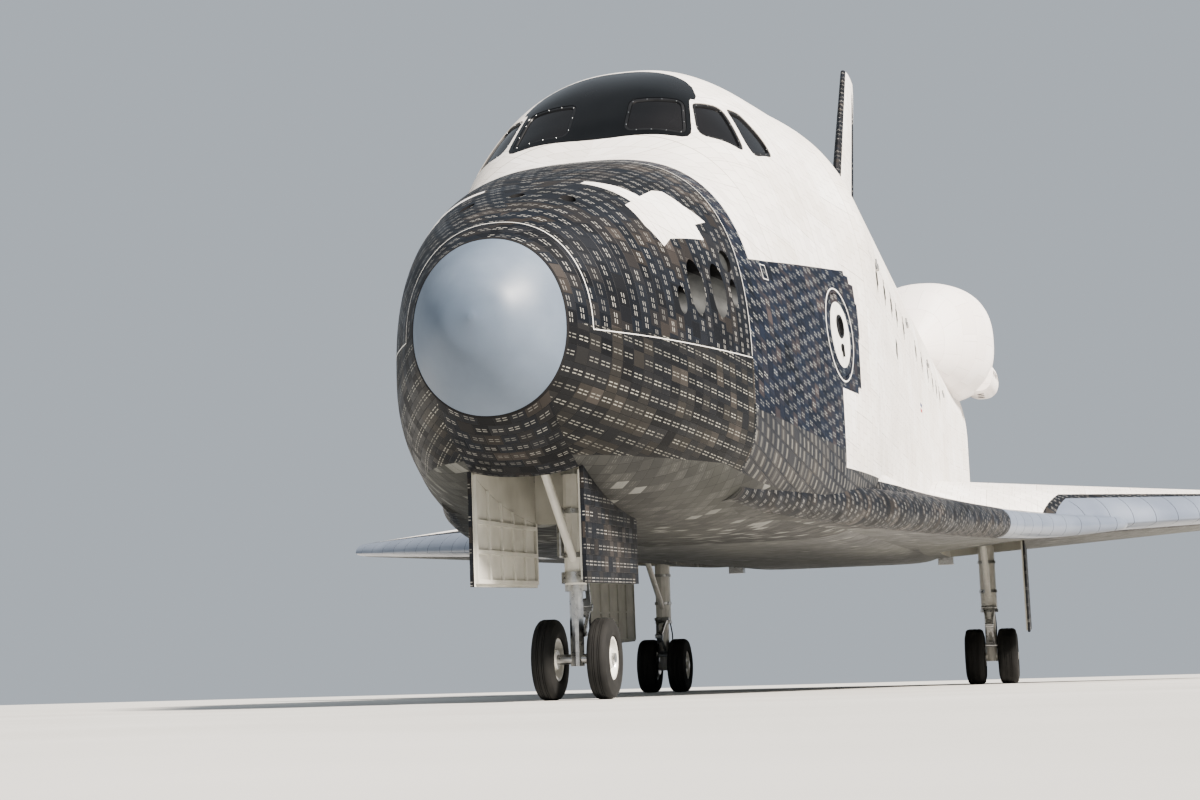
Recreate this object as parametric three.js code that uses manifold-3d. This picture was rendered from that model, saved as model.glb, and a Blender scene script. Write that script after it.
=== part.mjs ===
// Space shuttle orbiter, parked on its landing gear, as separate pieces with real joints between them.
// Units are millimetres. The exported frame has +Z up, the nose towards -Y and the port wing towards +X.
// Its origin is on the ground, under the middle of the orbiter's own box.
// The airframe is drawn in a frame of its own: x to port, y aft from the nose tip, z up from the keel line.
// That frame stands nose down by PITCH on the gear, which is drawn in the exported frame.
import * as THREE from "three";
import { mergeVertices } from "three/addons/utils/BufferGeometryUtils.js";
import Module from "manifold-3d";

const wasm = await Module();
wasm.setup();

// Driving dimensions of the stance
const PITCH = THREE.MathUtils.degToRad(2.5);
const NOSE_AHEAD = 18256; // nose tip station to the origin, along Y
const KEEL_AT_NOSE = 1563; // keel line above the ground at the nose tip station
const SEAT_GAP = 0.3; // between pieces that touch
const SKIN_GAP = 0.5; // between a piece and the skin that it is trimmed to

// Stations aft of the nose tip
const CAP_AFT = 520;
const NOSE_MODULE_AFT = 3607;
const BAY_FRONT = 8788;
const BAY_AFT = 27203;
const BASE_AFT = 32385;

// Heights above the keel line
const DECK_SPLIT = 1700; // lower half of the forward fuselage ends here, as the floor of the crew cabin
const SILL = 3734; // where the payload bay doors meet the mid fuselage

const CABIN_WALL = 110;
const CABIN_FRONT = 4150;
const CABIN_BACK = 8600;
const DOOR_WALL = 160;
const AFT_WALL = 220;
const BAY_RADIUS = 2286;
const BAY_CENTRE = 3378;

// The fuselage's outside, a superellipse above and another below the waist at each station
const BODY = [
  // aft, halfWidth, bottom, waist, top, lowPower, topPower
  [0, 30, 1690, 1720, 1750, 2, 2],
  [60, 270, 1420, 1710, 2000, 2, 2],
  [150, 410, 1260, 1700, 2150, 2, 2],
  [300, 565, 1080, 1690, 2320, 2.05, 2.05],
  [520, 715, 905, 1670, 2500, 2.1, 2.1],
  [1000, 990, 630, 1580, 2830, 2.2, 2.3],
  [1626, 1285, 400, 1470, 3160, 2.3, 2.5],
  [2300, 1520, 240, 1380, 3450, 2.4, 2.7],
  [3000, 1720, 140, 1290, 3720, 2.5, 2.85],
  [3607, 1865, 90, 1220, 3920, 2.7, 2.95],
  [4100, 1975, 60, 1180, 4070, 3, 2.9],
  [4500, 2055, 40, 1160, 4270, 3.2, 2.75],
  [5000, 2155, 20, 1150, 4800, 3.5, 2.6],
  [5500, 2250, 8, 1150, 5280, 3.8, 2.5],
  [6000, 2340, 0, 1180, 5580, 4.4, 2.45],
  [6500, 2425, 0, 1300, 5770, 5, 2.4],
  [7200, 2520, 0, 1700, 5875, 6, 2.4],
  [8000, 2615, 0, 2500, 5915, 7, 2.35],
  [8788, 2667, 0, 3300, 5930, 8, 2.3],
  [27203, 2667, 0, 3300, 5930, 8, 2.3],
  [29500, 2720, 60, 3300, 5930, 7, 2.3],
  [32385, 2900, 260, 3100, 5930, 6, 2.4],
];
const BODY_SIDES = 36;

// Wing, port side
const WING_TIP_X = 11896;
const LE_BREAK_X = 5055; // where the glove's swept edge meets the 45 degree leading edge
const LE_BREAK_AFT = 20295;
const TE_AFT_AT_CENTRE = 32746;
const TE_SLOPE = 0.1773;
const WING = [
  // x, height of the chord plane, thickness
  [2400, 320, 1500],
  [5055, 455, 1173],
  [11896, 830, 330],
];
const UNDER_SHARE = 0.2; // share of the thickness that lies below the chord plane
const EDGE_DEPTH = 560; // fore and aft width of the leading edge panels
const FOIL_SHARES = [0, 0.008, 0.03, 0.07, 0.14, 0.25, 0.4, 0.55, 0.68, 0.78, 0.88, 1];

// The glove ahead of the wing, one row for each station
const GLOVE = [
  // aft, edgeX, edgeZ, edgeRadius, topAtBody
  [3900, 1650, 430, 150, 620],
  [5000, 1990, 390, 225, 760],
  [8788, 2880, 350, 255, 850],
  [14000, 3800, 380, 260, 900],
  [16000, 4130, 400, 250, 940],
  [17500, 4420, 415, 240, 970],
  [18500, 4680, 430, 230, 1000],
  [19300, 4960, 440, 215, 1000],
  [20000, 5290, 450, 195, 1000],
  [20700, 5740, 470, 165, 1000],
  [21500, 6230, 495, 120, 1000],
  [23500, 6230, 520, 110, 1000],
];

// Elevons turn about one straight line at each wing, across the airframe
const HINGE_AFT = 29235;
const HINGE_IN = { x: 2950, z: 540, r: 322 };
const HINGE_OUT = { x: 11700, z: 898, r: 126 };
const ELEVON_SPLIT = 7925;
const ELEVON_GAP = 12;
const LIP_SHARE = 0.66; // how far the wing's lips stop short of the hinge line, in hinge radii

// Body flap
const FLAP = { aft: 32918, z: 508, r: 225, end: 34975, endHalf: 35, halfSpan: 2850, lip: 58 };

// Fin and the split rudder, whose halves also open as a speed brake
const FIN_ROOT = { z: 5930, front: 27260, back: 33218, half: 290 };
const FIN_TIP = { z: 14013, front: 34560, back: 37236, half: 120 };
const FIN_SHAPE = [
  // share of the chord, share of the half thickness
  [0, 0.05],
  [0.012, 0.3],
  [0.06, 0.58],
  [0.18, 0.86],
  [0.38, 1],
  [0.56, 1],
  [1, 0.13],
];
const RUDDER_LOW = new THREE.Vector3(0, 32222, 8560);
const RUDDER_HIGH = new THREE.Vector3(0, 35732, 13604);
const RUDDER_R_LOW = 214; // half of the fin's thickness at the hinge line
const RUDDER_R_HIGH = 122;
const RUDDER_END_GAP = 14;

// Landing gear, in the exported frame
const MAIN = { x: 3455, y: 5490, tyreR: 565, tyreW: 406, wheelAt: 330, axleR: 75 };
const NOSE = { x: 0, y: -15010, tyreR: 406, tyreW: 224, wheelAt: 285, axleR: 50 };
const MAIN_WELL = { x0: 2700, x1: 4240, y0: 20420, y1: 24330, top: 960 };
const NOSE_WELL = { x1: 520, y0: 1500, y1: 3640, top: 1250 };

const SKINS = {
  blackTile: { color: 0x2b2d2f, roughness: 0.62, metalness: 0 },
  whiteTile: { color: 0xe9e6e1, roughness: 0.6, metalness: 0 },
  greyCarbon: { color: 0x8f989f, roughness: 0.42, metalness: 0 },
  glass: { color: 0x17191c, roughness: 0.12, metalness: 0 },
  liner: { color: 0xc9c8c2, roughness: 0.7, metalness: 0 },
  steel: { color: 0xb9bcbd, roughness: 0.38, metalness: 0.8 },
  nozzle: { color: 0x55504b, roughness: 0.45, metalness: 0.7 },
  rubber: { color: 0x1d1d1e, roughness: 0.85, metalness: 0 },
  whitePaint: { color: 0xdfdfdb, roughness: 0.45, metalness: 0 },
};

// A closed three.js geometry as a solid that can be joined and cut
function solidOf(geometry, matrix) {
  const plain = geometry.clone();
  plain.deleteAttribute("normal");
  plain.deleteAttribute("uv");
  if (matrix) plain.applyMatrix4(matrix);
  const merged = mergeVertices(plain, 1e-2);
  return new wasm.Manifold(
    new wasm.Mesh({
      numProp: 3,
      vertProperties: new Float32Array(merged.attributes.position.array),
      triVerts: new Uint32Array(merged.index.array),
    }),
  );
}

// The same solid on the starboard side
function mirrored(solid) {
  const mesh = solid.getMesh();
  const points = new Float32Array(mesh.vertProperties);
  const faces = new Uint32Array(mesh.triVerts);
  for (let i = 0; i < points.length; i += 3) points[i] = -points[i];
  for (let i = 0; i < faces.length; i += 3) {
    [faces[i], faces[i + 1]] = [faces[i + 1], faces[i]];
  }
  return new wasm.Manifold(new wasm.Mesh({ numProp: 3, vertProperties: points, triVerts: faces }));
}

function box(x0, x1, y0, y1, z0, z1) {
  const centre = new THREE.Matrix4().makeTranslation((x0 + x1) / 2, (y0 + y1) / 2, (z0 + z1) / 2);
  return solidOf(new THREE.BoxGeometry(x1 - x0, y1 - y0, z1 - z0), centre);
}

// A round bar or cone from one point to another. Its corners start at a phase, in sides.
function rod(from, to, r0, r1 = r0, sides = 12, phase = 0) {
  const along = new THREE.Vector3().subVectors(to, from);
  const turn = new THREE.Quaternion().setFromUnitVectors(
    new THREE.Vector3(0, 1, 0),
    along.clone().normalize(),
  );
  const middle = new THREE.Vector3().addVectors(from, to).multiplyScalar(0.5);
  const matrix = new THREE.Matrix4().compose(middle, turn, new THREE.Vector3(1, 1, 1));
  const start = (2 * Math.PI * phase) / sides;
  const shape = new THREE.CylinderGeometry(r1, r0, along.length(), sides, 1, false, start);
  return solidOf(shape, matrix);
}

const PIN_SIDES = 8;
const PIN_CLEAR = 0.4;
const boreRadius = (r, sides) => (r + PIN_CLEAR) / Math.cos(Math.PI / sides);
const pin = (from, to, r) => rod(from, to, r, r, PIN_SIDES);

// A pin's hole, turned half a side so that its flats face the pin's corners
function pinBore(from, to, r) {
  const radius = boreRadius(r, PIN_SIDES);
  return rod(from, to, radius, radius, PIN_SIDES, 0.5);
}

function extruded(points, depth, u, v, w, at) {
  const shape = new THREE.Shape(points.map(([a, b]) => new THREE.Vector2(a, b)));
  const geometry = new THREE.ExtrudeGeometry(shape, { depth, bevelEnabled: false });
  const matrix = new THREE.Matrix4().makeBasis(u, v, w).setPosition(w.clone().multiplyScalar(at));
  return solidOf(geometry, matrix);
}

const X = new THREE.Vector3(1, 0, 0);
const Y = new THREE.Vector3(0, 1, 0);
const Z = new THREE.Vector3(0, 0, 1);

// Outline of (x, y) points carried up from z0 to z1, and of (y, z) points carried across from x0 to x1
const planPrism = (points, z0, z1) => extruded(points, z1 - z0, X, Y, Z, z0);
const sidePrism = (points, x0, x1) => extruded(points, x1 - x0, Y, Z, X, x0);

// A closed skin through rings of the same number of points, each quad split along its shorter diagonal
function loft(rings) {
  const count = rings[0].length;
  const points = rings.flat();
  const faces = [];
  for (let r = 0; r + 1 < rings.length; r++) {
    for (let k = 0; k < count; k++) {
      const a = r * count + k;
      const b = r * count + ((k + 1) % count);
      const [c, d] = [a + count, b + count];
      const even = points[b].distanceTo(points[c]) <= points[a].distanceTo(points[d]);
      faces.push(...(even ? [a, b, c, b, d, c] : [a, b, d, a, d, c]));
    }
  }
  for (const [ring, first] of [
    [0, true],
    [rings.length - 1, false],
  ]) {
    const middle = new THREE.Vector3();
    rings[ring].forEach((p) => middle.addScaledVector(p, 1 / count));
    const hub = points.push(middle) - 1;
    for (let k = 0; k < count; k++) {
      const a = ring * count + k;
      const b = ring * count + ((k + 1) % count);
      faces.push(...(first ? [b, a, hub] : [a, b, hub]));
    }
  }
  const made = (list) =>
    new wasm.Manifold(
      new wasm.Mesh({
        numProp: 3,
        vertProperties: new Float32Array(points.flatMap((p) => [p.x, p.y, p.z])),
        triVerts: new Uint32Array(list),
      }),
    );
  const solid = made(faces);
  return solid.volume() > 0 ? solid : made(faces.toReversed());
}

// One column of a station table, as a smooth curve that never overshoots its rows
function smooth(table, column, at) {
  const last = table.length - 1;
  let i = table.findIndex((row) => row[0] > at) - 1;
  if (i < 0) i = at < table[0][0] ? 0 : last - 1;
  const rise = (k) => (table[k + 1][column] - table[k][column]) / (table[k + 1][0] - table[k][0]);
  const slope = (k) => {
    if (k === 0) return rise(0);
    if (k === last) return rise(last - 1);
    const [a, b] = [rise(k - 1), rise(k)];
    return a * b <= 0 ? 0 : (2 * a * b) / (a + b);
  };
  const width = table[i + 1][0] - table[i][0];
  const t = Math.min(1, Math.max(0, (at - table[i][0]) / width));
  return (
    table[i][column] * (1 + 2 * t) * (1 - t) ** 2 +
    table[i + 1][column] * t * t * (3 - 2 * t) +
    slope(i) * width * t * (1 - t) ** 2 -
    slope(i + 1) * width * t * t * (1 - t)
  );
}

const bent = (value, power) => Math.sign(value) * Math.abs(value) ** (2 / power);

// A point of the fuselage's outside. Angle 0 is the port waist and a quarter turn the top.
function bodyPoint(aft, angle, inset = 0) {
  const [halfWidth, bottom, waist, top, lowPower, topPower] = [1, 2, 3, 4, 5, 6].map((column) =>
    smooth(BODY, column, aft),
  );
  const over = Math.sin(angle) >= 0;
  const power = over ? topPower : lowPower;
  const height = (over ? top - waist : waist - bottom) - inset;
  return new THREE.Vector3(
    bent(Math.cos(angle), power) * (halfWidth - inset),
    aft,
    waist + bent(Math.sin(angle), power) * height,
  );
}

function body(from, to, inset = 0) {
  const stations = BODY.map((row) => row[0]).filter((aft) => aft > from + 5 && aft < to - 5);
  return loft(
    [from, ...stations, to].map((aft) =>
      Array.from({ length: BODY_SIDES }, (_, k) =>
        bodyPoint(aft, (2 * Math.PI * k) / BODY_SIDES, inset),
      ),
    ),
  );
}

// The whole fuselage a little larger, which trims what is fastened to it
const trim = body(BODY[0][0], BASE_AFT + 40, -SKIN_GAP);
const FAR = 20000; // past every side of the orbiter

const pieces = new THREE.Group();
pieces.name = "orbiter";
const airframe = new THREE.Group();
airframe.rotation.x = PITCH;
airframe.position.set(0, -NOSE_AHEAD, KEEL_AT_NOSE);
const gear = new THREE.Group();
pieces.add(airframe, gear);

function addPiece(group, name, solid, skin) {
  const mesh = solid.getMesh();
  const geometry = new THREE.BufferGeometry();
  geometry.setAttribute("position", new THREE.BufferAttribute(new Float32Array(mesh.vertProperties), 3));
  geometry.setIndex(new THREE.BufferAttribute(new Uint32Array(mesh.triVerts), 1));
  geometry.computeVertexNormals();
  const made = new THREE.Mesh(geometry, new THREE.MeshStandardMaterial(SKINS[skin]));
  made.name = name;
  group.add(made);
}

// A port piece and its starboard twin
function addPair(group, name, solid, skin) {
  addPiece(group, name + "_left", solid, skin);
  addPiece(group, name + "_right", mirrored(solid), skin);
}

// Angle of the fuselage's outside at a height, and on its top at a distance from the centre plane
function angleAtHeight(aft, z) {
  const [bottom, waist, top, lowPower, topPower] = [2, 3, 4, 5, 6].map((c) => smooth(BODY, c, aft));
  if (z >= waist) return Math.asin(((z - waist) / (top - waist)) ** (topPower / 2));
  return -Math.asin(((waist - z) / (waist - bottom)) ** (lowPower / 2));
}
function angleAtSide(aft, x) {
  return Math.acos((Math.abs(x) / smooth(BODY, 1, aft)) ** (smooth(BODY, 6, aft) / 2));
}

// Directions at a point of the port side: out of the skin, aft along it and up along it
function skinFrame(aft, z) {
  const angle = angleAtHeight(aft, z);
  const at = bodyPoint(aft, angle);
  const up = bodyPoint(aft, angle + 0.02).sub(bodyPoint(aft, angle - 0.02)).normalize();
  const level = (place) => bodyPoint(place, angleAtHeight(place, z));
  const aftward = level(aft + 50).sub(level(aft - 50)).normalize();
  const out = new THREE.Vector3().crossVectors(aftward, up).normalize();
  return { at, out, aft: aftward, up: new THREE.Vector3().crossVectors(out, aftward) };
}
const moved = (point, ...steps) =>
  steps.reduce((sum, [direction, by]) => sum.addScaledVector(direction, by), point.clone());

// A block whose sides follow three given directions
function blockAt(at, [u, u0, u1], [v, v0, v1], [w, w0, w1]) {
  const middle = moved(at, [u, (u0 + u1) / 2], [v, (v0 + v1) / 2], [w, (w0 + w1) / 2]);
  const matrix = new THREE.Matrix4().makeBasis(u, v, w).setPosition(middle);
  return solidOf(new THREE.BoxGeometry(u1 - u0, v1 - v0, w1 - w0), matrix);
}

// Nose and crew cabin
const NOSE_FITTING = { x: 170, y0: 3700, y1: 4020, drop: 45 };
const WINDOWS = [
  // corners of one port pane as [aft, x], inner bottom first and then outwards round it
  [[4780, 320], [4880, 1040], [5390, 930], [5250, 310]],
  [[4930, 1150], [5340, 1630], [5720, 1300], [5400, 1010]],
  [[5560, 1740], [6140, 1850], [6000, 1450], [5840, 1360]],
];
const OVERHEAD_WINDOW = [[6450, 150], [6450, 650], [6950, 650], [6950, 150]];
const WINDOW_BAND = { y0: 4640, y1: 6260, z0: 3150 };
const OVERHEAD_BAND = { y0: 6380, y1: 7020, x: 720, z0: 5000 };
const GLASS = { outer: CABIN_WALL + 1, inner: CABIN_WALL + 42 };
const HATCH = { aft: 6780, z: 2350, r: 503, rInner: 488, opening: 511 };
const HATCH_PIN = { r: 12, reach: 90, inset: 14, below: 24, slot: 70, arm: 55 };

function windowCut(corners, side) {
  const ring = (inset) =>
    corners.map(([aft, x]) => {
      const point = bodyPoint(aft, angleAtSide(aft, x), inset);
      point.x *= side;
      return point;
    });
  return loft([ring(-90), ring(2.4 * CABIN_WALL)]);
}

const above = (z) => box(-FAR, FAR, -FAR, 2 * FAR, z, FAR);
const below = (z) => box(-FAR, FAR, -FAR, 2 * FAR, -FAR, z);
const cabinShell = (inset) => body(CABIN_FRONT, CABIN_BACK, inset);

function noseWell() {
  const { x1, y0, y1, top } = NOSE_WELL;
  return box(-x1, x1, y0, y1, -FAR, top);
}

function forwardLower() {
  const { x, y0, y1, drop } = NOSE_FITTING;
  const bottom = smooth(BODY, 2, y1);
  return body(CAP_AFT + SEAT_GAP, BAY_FRONT)
    .intersect(below(DECK_SPLIT))
    .subtract(noseWell())
    .add(box(-x, x, y0, y1, bottom - drop, bottom + 200));
}

const cabin = body(NOSE_MODULE_AFT + SEAT_GAP, BAY_FRONT)
  .intersect(above(DECK_SPLIT + SEAT_GAP))
  .subtract(cabinShell(CABIN_WALL));
const hatchFrame = skinFrame(HATCH.aft, HATCH.z);
const hatchFoot = skinFrame(HATCH.aft, HATCH.z - HATCH.r);
const hatchPin = moved(hatchFoot.at, [hatchFoot.out, -HATCH_PIN.inset], [hatchFoot.up, -HATCH_PIN.below]);

function hatchPinEnds(reach) {
  const { aft } = hatchFoot;
  return [moved(hatchPin, [aft, -reach]), moved(hatchPin, [aft, reach])];
}

function hatchPlug(rOuter, rInner) {
  const slope = (rOuter - rInner) / CABIN_WALL;
  const [deep, proud] = [250, 80];
  const { at, out } = hatchFrame;
  const [r0, r1] = [rOuter - slope * deep, rOuter + slope * proud];
  return rod(moved(at, [out, -deep]), moved(at, [out, proud]), r0, r1, 32);
}

function cabinUpper() {
  const { out, aft, up } = hatchFoot;
  let solid = cabin.subtract(hatchPlug(HATCH.opening, HATCH.opening));
  for (const side of [1, -1]) {
    for (const corners of [...WINDOWS, OVERHEAD_WINDOW]) solid = solid.subtract(windowCut(corners, side));
  }
  const { slot, r, reach } = HATCH_PIN;
  return solid
    .subtract(blockAt(hatchPin, [out, -30, 90], [aft, -slot, slot], [up, -22, 60]))
    .subtract(pinBore(...hatchPinEnds(reach + SEAT_GAP), r));
}

function sideHatch() {
  const { out, aft, up } = hatchFoot;
  const { r, arm, reach } = HATCH_PIN;
  return cabin
    .intersect(hatchPlug(HATCH.r, HATCH.rInner))
    .add(pin(...hatchPinEnds(reach), r))
    .add(blockAt(hatchPin, [out, -r, r], [aft, -arm, arm], [up, -r / 2, 60]));
}

function glassBand({ y0, y1, z0, x = FAR }) {
  return cabinShell(GLASS.outer)
    .subtract(cabinShell(GLASS.inner))
    .intersect(box(-x, x, y0, y1, z0, FAR));
}

function noseModule() {
  return body(CAP_AFT + SEAT_GAP, NOSE_MODULE_AFT).intersect(above(DECK_SPLIT + SEAT_GAP));
}

addPiece(airframe, "nose_cap", body(BODY[0][0], CAP_AFT), "greyCarbon");
addPiece(airframe, "nose_thruster_module", noseModule(), "whiteTile");
addPiece(airframe, "forward_fuselage_lower", forwardLower(), "blackTile");
addPiece(airframe, "crew_cabin", cabinUpper(), "whiteTile");
addPiece(airframe, "windshield", glassBand(WINDOW_BAND), "glass");
addPiece(airframe, "overhead_windows", glassBand(OVERHEAD_BAND), "glass");
addPiece(airframe, "side_hatch", sideHatch(), "whiteTile");

// Payload bay and its doors
const DOOR_GAP = 10;
const DOOR_FOOT = 15; // door's lower edge above its hinge line, which lies as far out of the skin
const DOOR_HINGES = [9900, 15300, 20700, 26100];
const DOOR_LUG = { half: 90, slot: 35, arm: 25, root: 60, rise: 18, notch: 48, r: 14 };
const hingeX = bodyPoint(BAY_FRONT, angleAtHeight(BAY_FRONT, SILL)).x + DOOR_FOOT;
const hingeAt = (aft) => new THREE.Vector3(hingeX, aft, SILL);

function bay() {
  const tube = rod(
    new THREE.Vector3(0, BAY_FRONT, BAY_CENTRE),
    new THREE.Vector3(0, BAY_AFT + SEAT_GAP, BAY_CENTRE),
    BAY_RADIUS,
    BAY_RADIUS,
    32,
  );
  return tube.add(box(-BAY_RADIUS, BAY_RADIUS, BAY_FRONT, BAY_AFT + SEAT_GAP, BAY_CENTRE, FAR));
}

// One hinge's pair of cheeks on the sill
function doorLug(aft) {
  const { half, slot, root, rise, r } = DOOR_LUG;
  const at = hingeAt(aft);
  const rodEnds = [moved(at, [Y, -half - 1]), moved(at, [Y, half + 1])];
  return box(hingeX - root, hingeX + rise, aft - half, aft + half, SILL - root, SILL)
    .add(box(hingeX - rise, hingeX + rise, aft - half, aft + half, SILL - 1, SILL + rise))
    .subtract(box(hingeX - DOOR_FOOT, FAR, aft - slot, aft + slot, SILL - 2 * root, FAR))
    .subtract(box(-FAR, hingeX - DOOR_FOOT, aft - slot, aft + slot, SILL - rise, FAR))
    .subtract(pinBore(...rodEnds, r));
}

function midFuselage() {
  let solid = body(BAY_FRONT + SEAT_GAP, BAY_AFT).intersect(below(SILL)).subtract(bay());
  for (const aft of DOOR_HINGES) {
    const { slot, rise } = DOOR_LUG;
    const left = doorLug(aft);
    const room = box(hingeX - 2 * DOOR_FOOT - rise, FAR, aft - slot, aft + slot, SILL - rise - 4, FAR);
    solid = solid.subtract(room).subtract(mirrored(room)).add(left).add(mirrored(left));
  }
  return solid;
}

function bayDoor() {
  const { half, arm, r, notch } = DOOR_LUG;
  const [from, to] = [BAY_FRONT + DOOR_GAP, BAY_AFT - DOOR_GAP];
  let solid = body(from, to)
    .subtract(body(from, to, DOOR_WALL))
    .intersect(box(DOOR_GAP / 2, FAR, from, to, SILL + DOOR_FOOT, FAR));
  for (const aft of DOOR_HINGES) {
    const at = hingeAt(aft);
    const ends = [moved(at, [Y, -half - DOOR_GAP]), moved(at, [Y, half + DOOR_GAP])];
    solid = solid
      .subtract(rod(...ends, notch))
      .add(pin(moved(at, [Y, -half]), moved(at, [Y, half]), r))
      .add(box(hingeX - 2 * r, hingeX, aft - arm, aft + arm, SILL, SILL + 2 * notch));
  }
  return solid;
}

addPiece(airframe, "mid_fuselage", midFuselage(), "whiteTile");
addPair(airframe, "payload_bay_door", bayDoor(), "whiteTile");

// Aft fuselage, main engines and body flap
const AFT_FRONT_WALL = 27450;
const AFT_FITTING = { x0: 2260, x1: 2600, y0: 27310, y1: 27610, z0: -45, z1: 420 };
const ENGINES = [
  // gimbal's place, pitch up and toe out in degrees, and the heat shield's dome
  { name: "main_engine_top", x: 0, aft: 30709, z: 4470, pitch: 16, toe: 0, dome: 920 },
  { name: "main_engine", x: 1346, aft: 31298, z: 1920, pitch: 10, toe: 3.5, dome: 1000 },
];
const BELL = [
  // aft of the gimbal, outside radius
  [950, 330],
  [1700, 700],
  [2300, 915],
  [3100, 1095],
  [3988, 1195],
];
const BELL_WALL = 32;
const ENGINE_SIDES = 20;
const POWER_HEAD = { from: -150, r: 560, throat: 1010 };
const ENGINE_HOLE = 835;
const FLAP_BRACKETS = [-1500, 1500];
const BRACKET = { half: 20, slot: 30, pinR: 28, eye: 60 };

function engineFrame({ x, aft, z, pitch, toe }) {
  const [up, out] = [pitch, toe].map(THREE.MathUtils.degToRad);
  const line = new THREE.Vector3(Math.sin(out), Math.cos(up) * Math.cos(out), Math.sin(up) * Math.cos(out));
  return { at: new THREE.Vector3(x, aft, z), line };
}

// A closed turned shape, whose profile runs [along, radius] round its line
function turned(profile, at, line, sides) {
  const points = profile.map(([along, radius]) => new THREE.Vector2(radius, along));
  const turn = new THREE.Quaternion().setFromUnitVectors(Y, line);
  const matrix = new THREE.Matrix4().compose(at, turn, new THREE.Vector3(1, 1, 1));
  return solidOf(new THREE.LatheGeometry(points, sides), matrix);
}

function engine(place) {
  const { at, line } = engineFrame(place);
  const { from, r, throat } = POWER_HEAD;
  const inner = BELL.slice(1).map(([along, radius]) => [along, radius - BELL_WALL]);
  const profile = [
    [from, 0],
    [from, r],
    [BELL[0][0], r],
    ...BELL,
    ...inner.toReversed(),
    [throat, BELL[0][1] / 2],
    [throat, 0],
  ];
  const bell = turned(profile, at, line, ENGINE_SIDES);
  const atBase = moved(at, [line, (BASE_AFT - at.y) / line.y]);
  const flow = turned([[throat, 0], [throat, BELL[0][1] / 2], ...inner, [FAR, 0]], at, line, ENGINE_SIDES);
  const sphere = solidOf(
    new THREE.SphereGeometry(place.dome, 18, 10),
    new THREE.Matrix4().makeTranslation(atBase.x, atBase.y, atBase.z),
  );
  const dome = sphere.intersect(box(-FAR, FAR, BASE_AFT + SEAT_GAP, 2 * FAR, -FAR, FAR)).subtract(flow);
  return bell.add(dome);
}

function engineHole(place) {
  const { at, line } = engineFrame(place);
  return rod(at, moved(at, [line, 3000]), ENGINE_HOLE, ENGINE_HOLE, ENGINE_SIDES);
}

const flapHinge = (x) => new THREE.Vector3(x, FLAP.aft, FLAP.z);

// A bracket's profile from a spar to the pin it carries, and the pin's own bore
function bracket(x, at, spar, halfHeight) {
  const { half, pinR, eye } = BRACKET;
  const eyeAt = (side) => new THREE.Vector3(x + side, at.y, at.z);
  return box(x - half, x + half, spar, at.y, at.z - halfHeight, at.z + halfHeight)
    .add(rod(eyeAt(-half), eyeAt(half), eye))
    .subtract(pinBore(eyeAt(-half - 1), eyeAt(half + 1), pinR));
}

function aftFuselage() {
  const { x0, x1, y0, y1, z0, z1 } = AFT_FITTING;
  const fitting = box(x0, x1, y0, y1, z0, z1);
  const { aft, z, r, halfSpan } = FLAP;
  const room = body(AFT_FRONT_WALL, BASE_AFT - AFT_WALL, AFT_WALL);
  let solid = body(BAY_AFT + SEAT_GAP, BASE_AFT).subtract(room);
  for (const place of ENGINES) {
    solid = solid.subtract(engineHole(place));
    if (place.x > 0) solid = solid.subtract(mirrored(engineHole(place)));
  }
  const shelf = box(-halfSpan, halfSpan, BASE_AFT - 30, aft - LIP_SHARE * r, z - r, z + r).subtract(
    rod(flapHinge(-FAR), flapHinge(FAR), r + ELEVON_GAP, r + ELEVON_GAP, 24),
  );
  solid = solid.add(fitting).add(mirrored(fitting)).add(shelf);
  for (const x of FLAP_BRACKETS) solid = solid.add(bracket(x, flapHinge(x), aft - r - 60, BRACKET.eye));
  return solid;
}

function bodyFlap() {
  const { aft, z, r, end, endHalf, halfSpan } = FLAP;
  const { slot, pinR } = BRACKET;
  const outline = [
    [aft, z - r],
    [end, z - endHalf],
    [end, z + endHalf],
    [aft, z + r],
  ];
  let solid = sidePrism(outline, -halfSpan, halfSpan).add(
    rod(flapHinge(-halfSpan), flapHinge(halfSpan), r, r, 24),
  );
  for (const x of FLAP_BRACKETS) {
    solid = solid
      .subtract(box(x - slot, x + slot, -FAR, aft + slot + BRACKET.eye, -FAR, FAR))
      .add(pin(flapHinge(x - slot - 1), flapHinge(x + slot + 1), pinR));
  }
  return solid;
}

addPiece(airframe, "aft_fuselage", aftFuselage(), "whiteTile");
addPiece(airframe, "body_flap", bodyFlap(), "blackTile");
addPiece(airframe, ENGINES[0].name, engine(ENGINES[0]), "nozzle");
addPair(airframe, ENGINES[1].name, engine(ENGINES[1]), "nozzle");

// Wings with their gloves, leading edges and elevons
const EDGE_ROOT = { x: 3860, aft: 16000 }; // inner front corner of the leading edge panels
const EDGE_WAIST = { x: 4420, aft: 18700 };
const EDGE_BEND_X = 5100; // their rear line runs along the wing outboard of this
const LE_AFT = (x) => LE_BREAK_AFT + (x - LE_BREAK_X);
const TE_AFT = (x) => TE_AFT_AT_CENTRE - TE_SLOPE * x;
const ELEVON_BRACKETS = [3600, 7200, 8500, 11000];
const hingeStart = new THREE.Vector3(HINGE_IN.x, HINGE_AFT, HINGE_IN.z);
const hingeEnd = new THREE.Vector3(HINGE_OUT.x, HINGE_AFT, HINGE_OUT.z);
const hingeRun = new THREE.Vector3().subVectors(hingeEnd, hingeStart);
const hingeLine = hingeRun.clone().normalize();
const hingeUp = new THREE.Vector3().crossVectors(hingeLine, Y);
const hingeShare = (x) => (x - HINGE_IN.x) / (HINGE_OUT.x - HINGE_IN.x);
const hingePoint = (x) => moved(hingeStart, [hingeRun, hingeShare(x)]);
const hingeRadius = (x) => HINGE_IN.r + hingeShare(x) * (HINGE_OUT.r - HINGE_IN.r);

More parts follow.
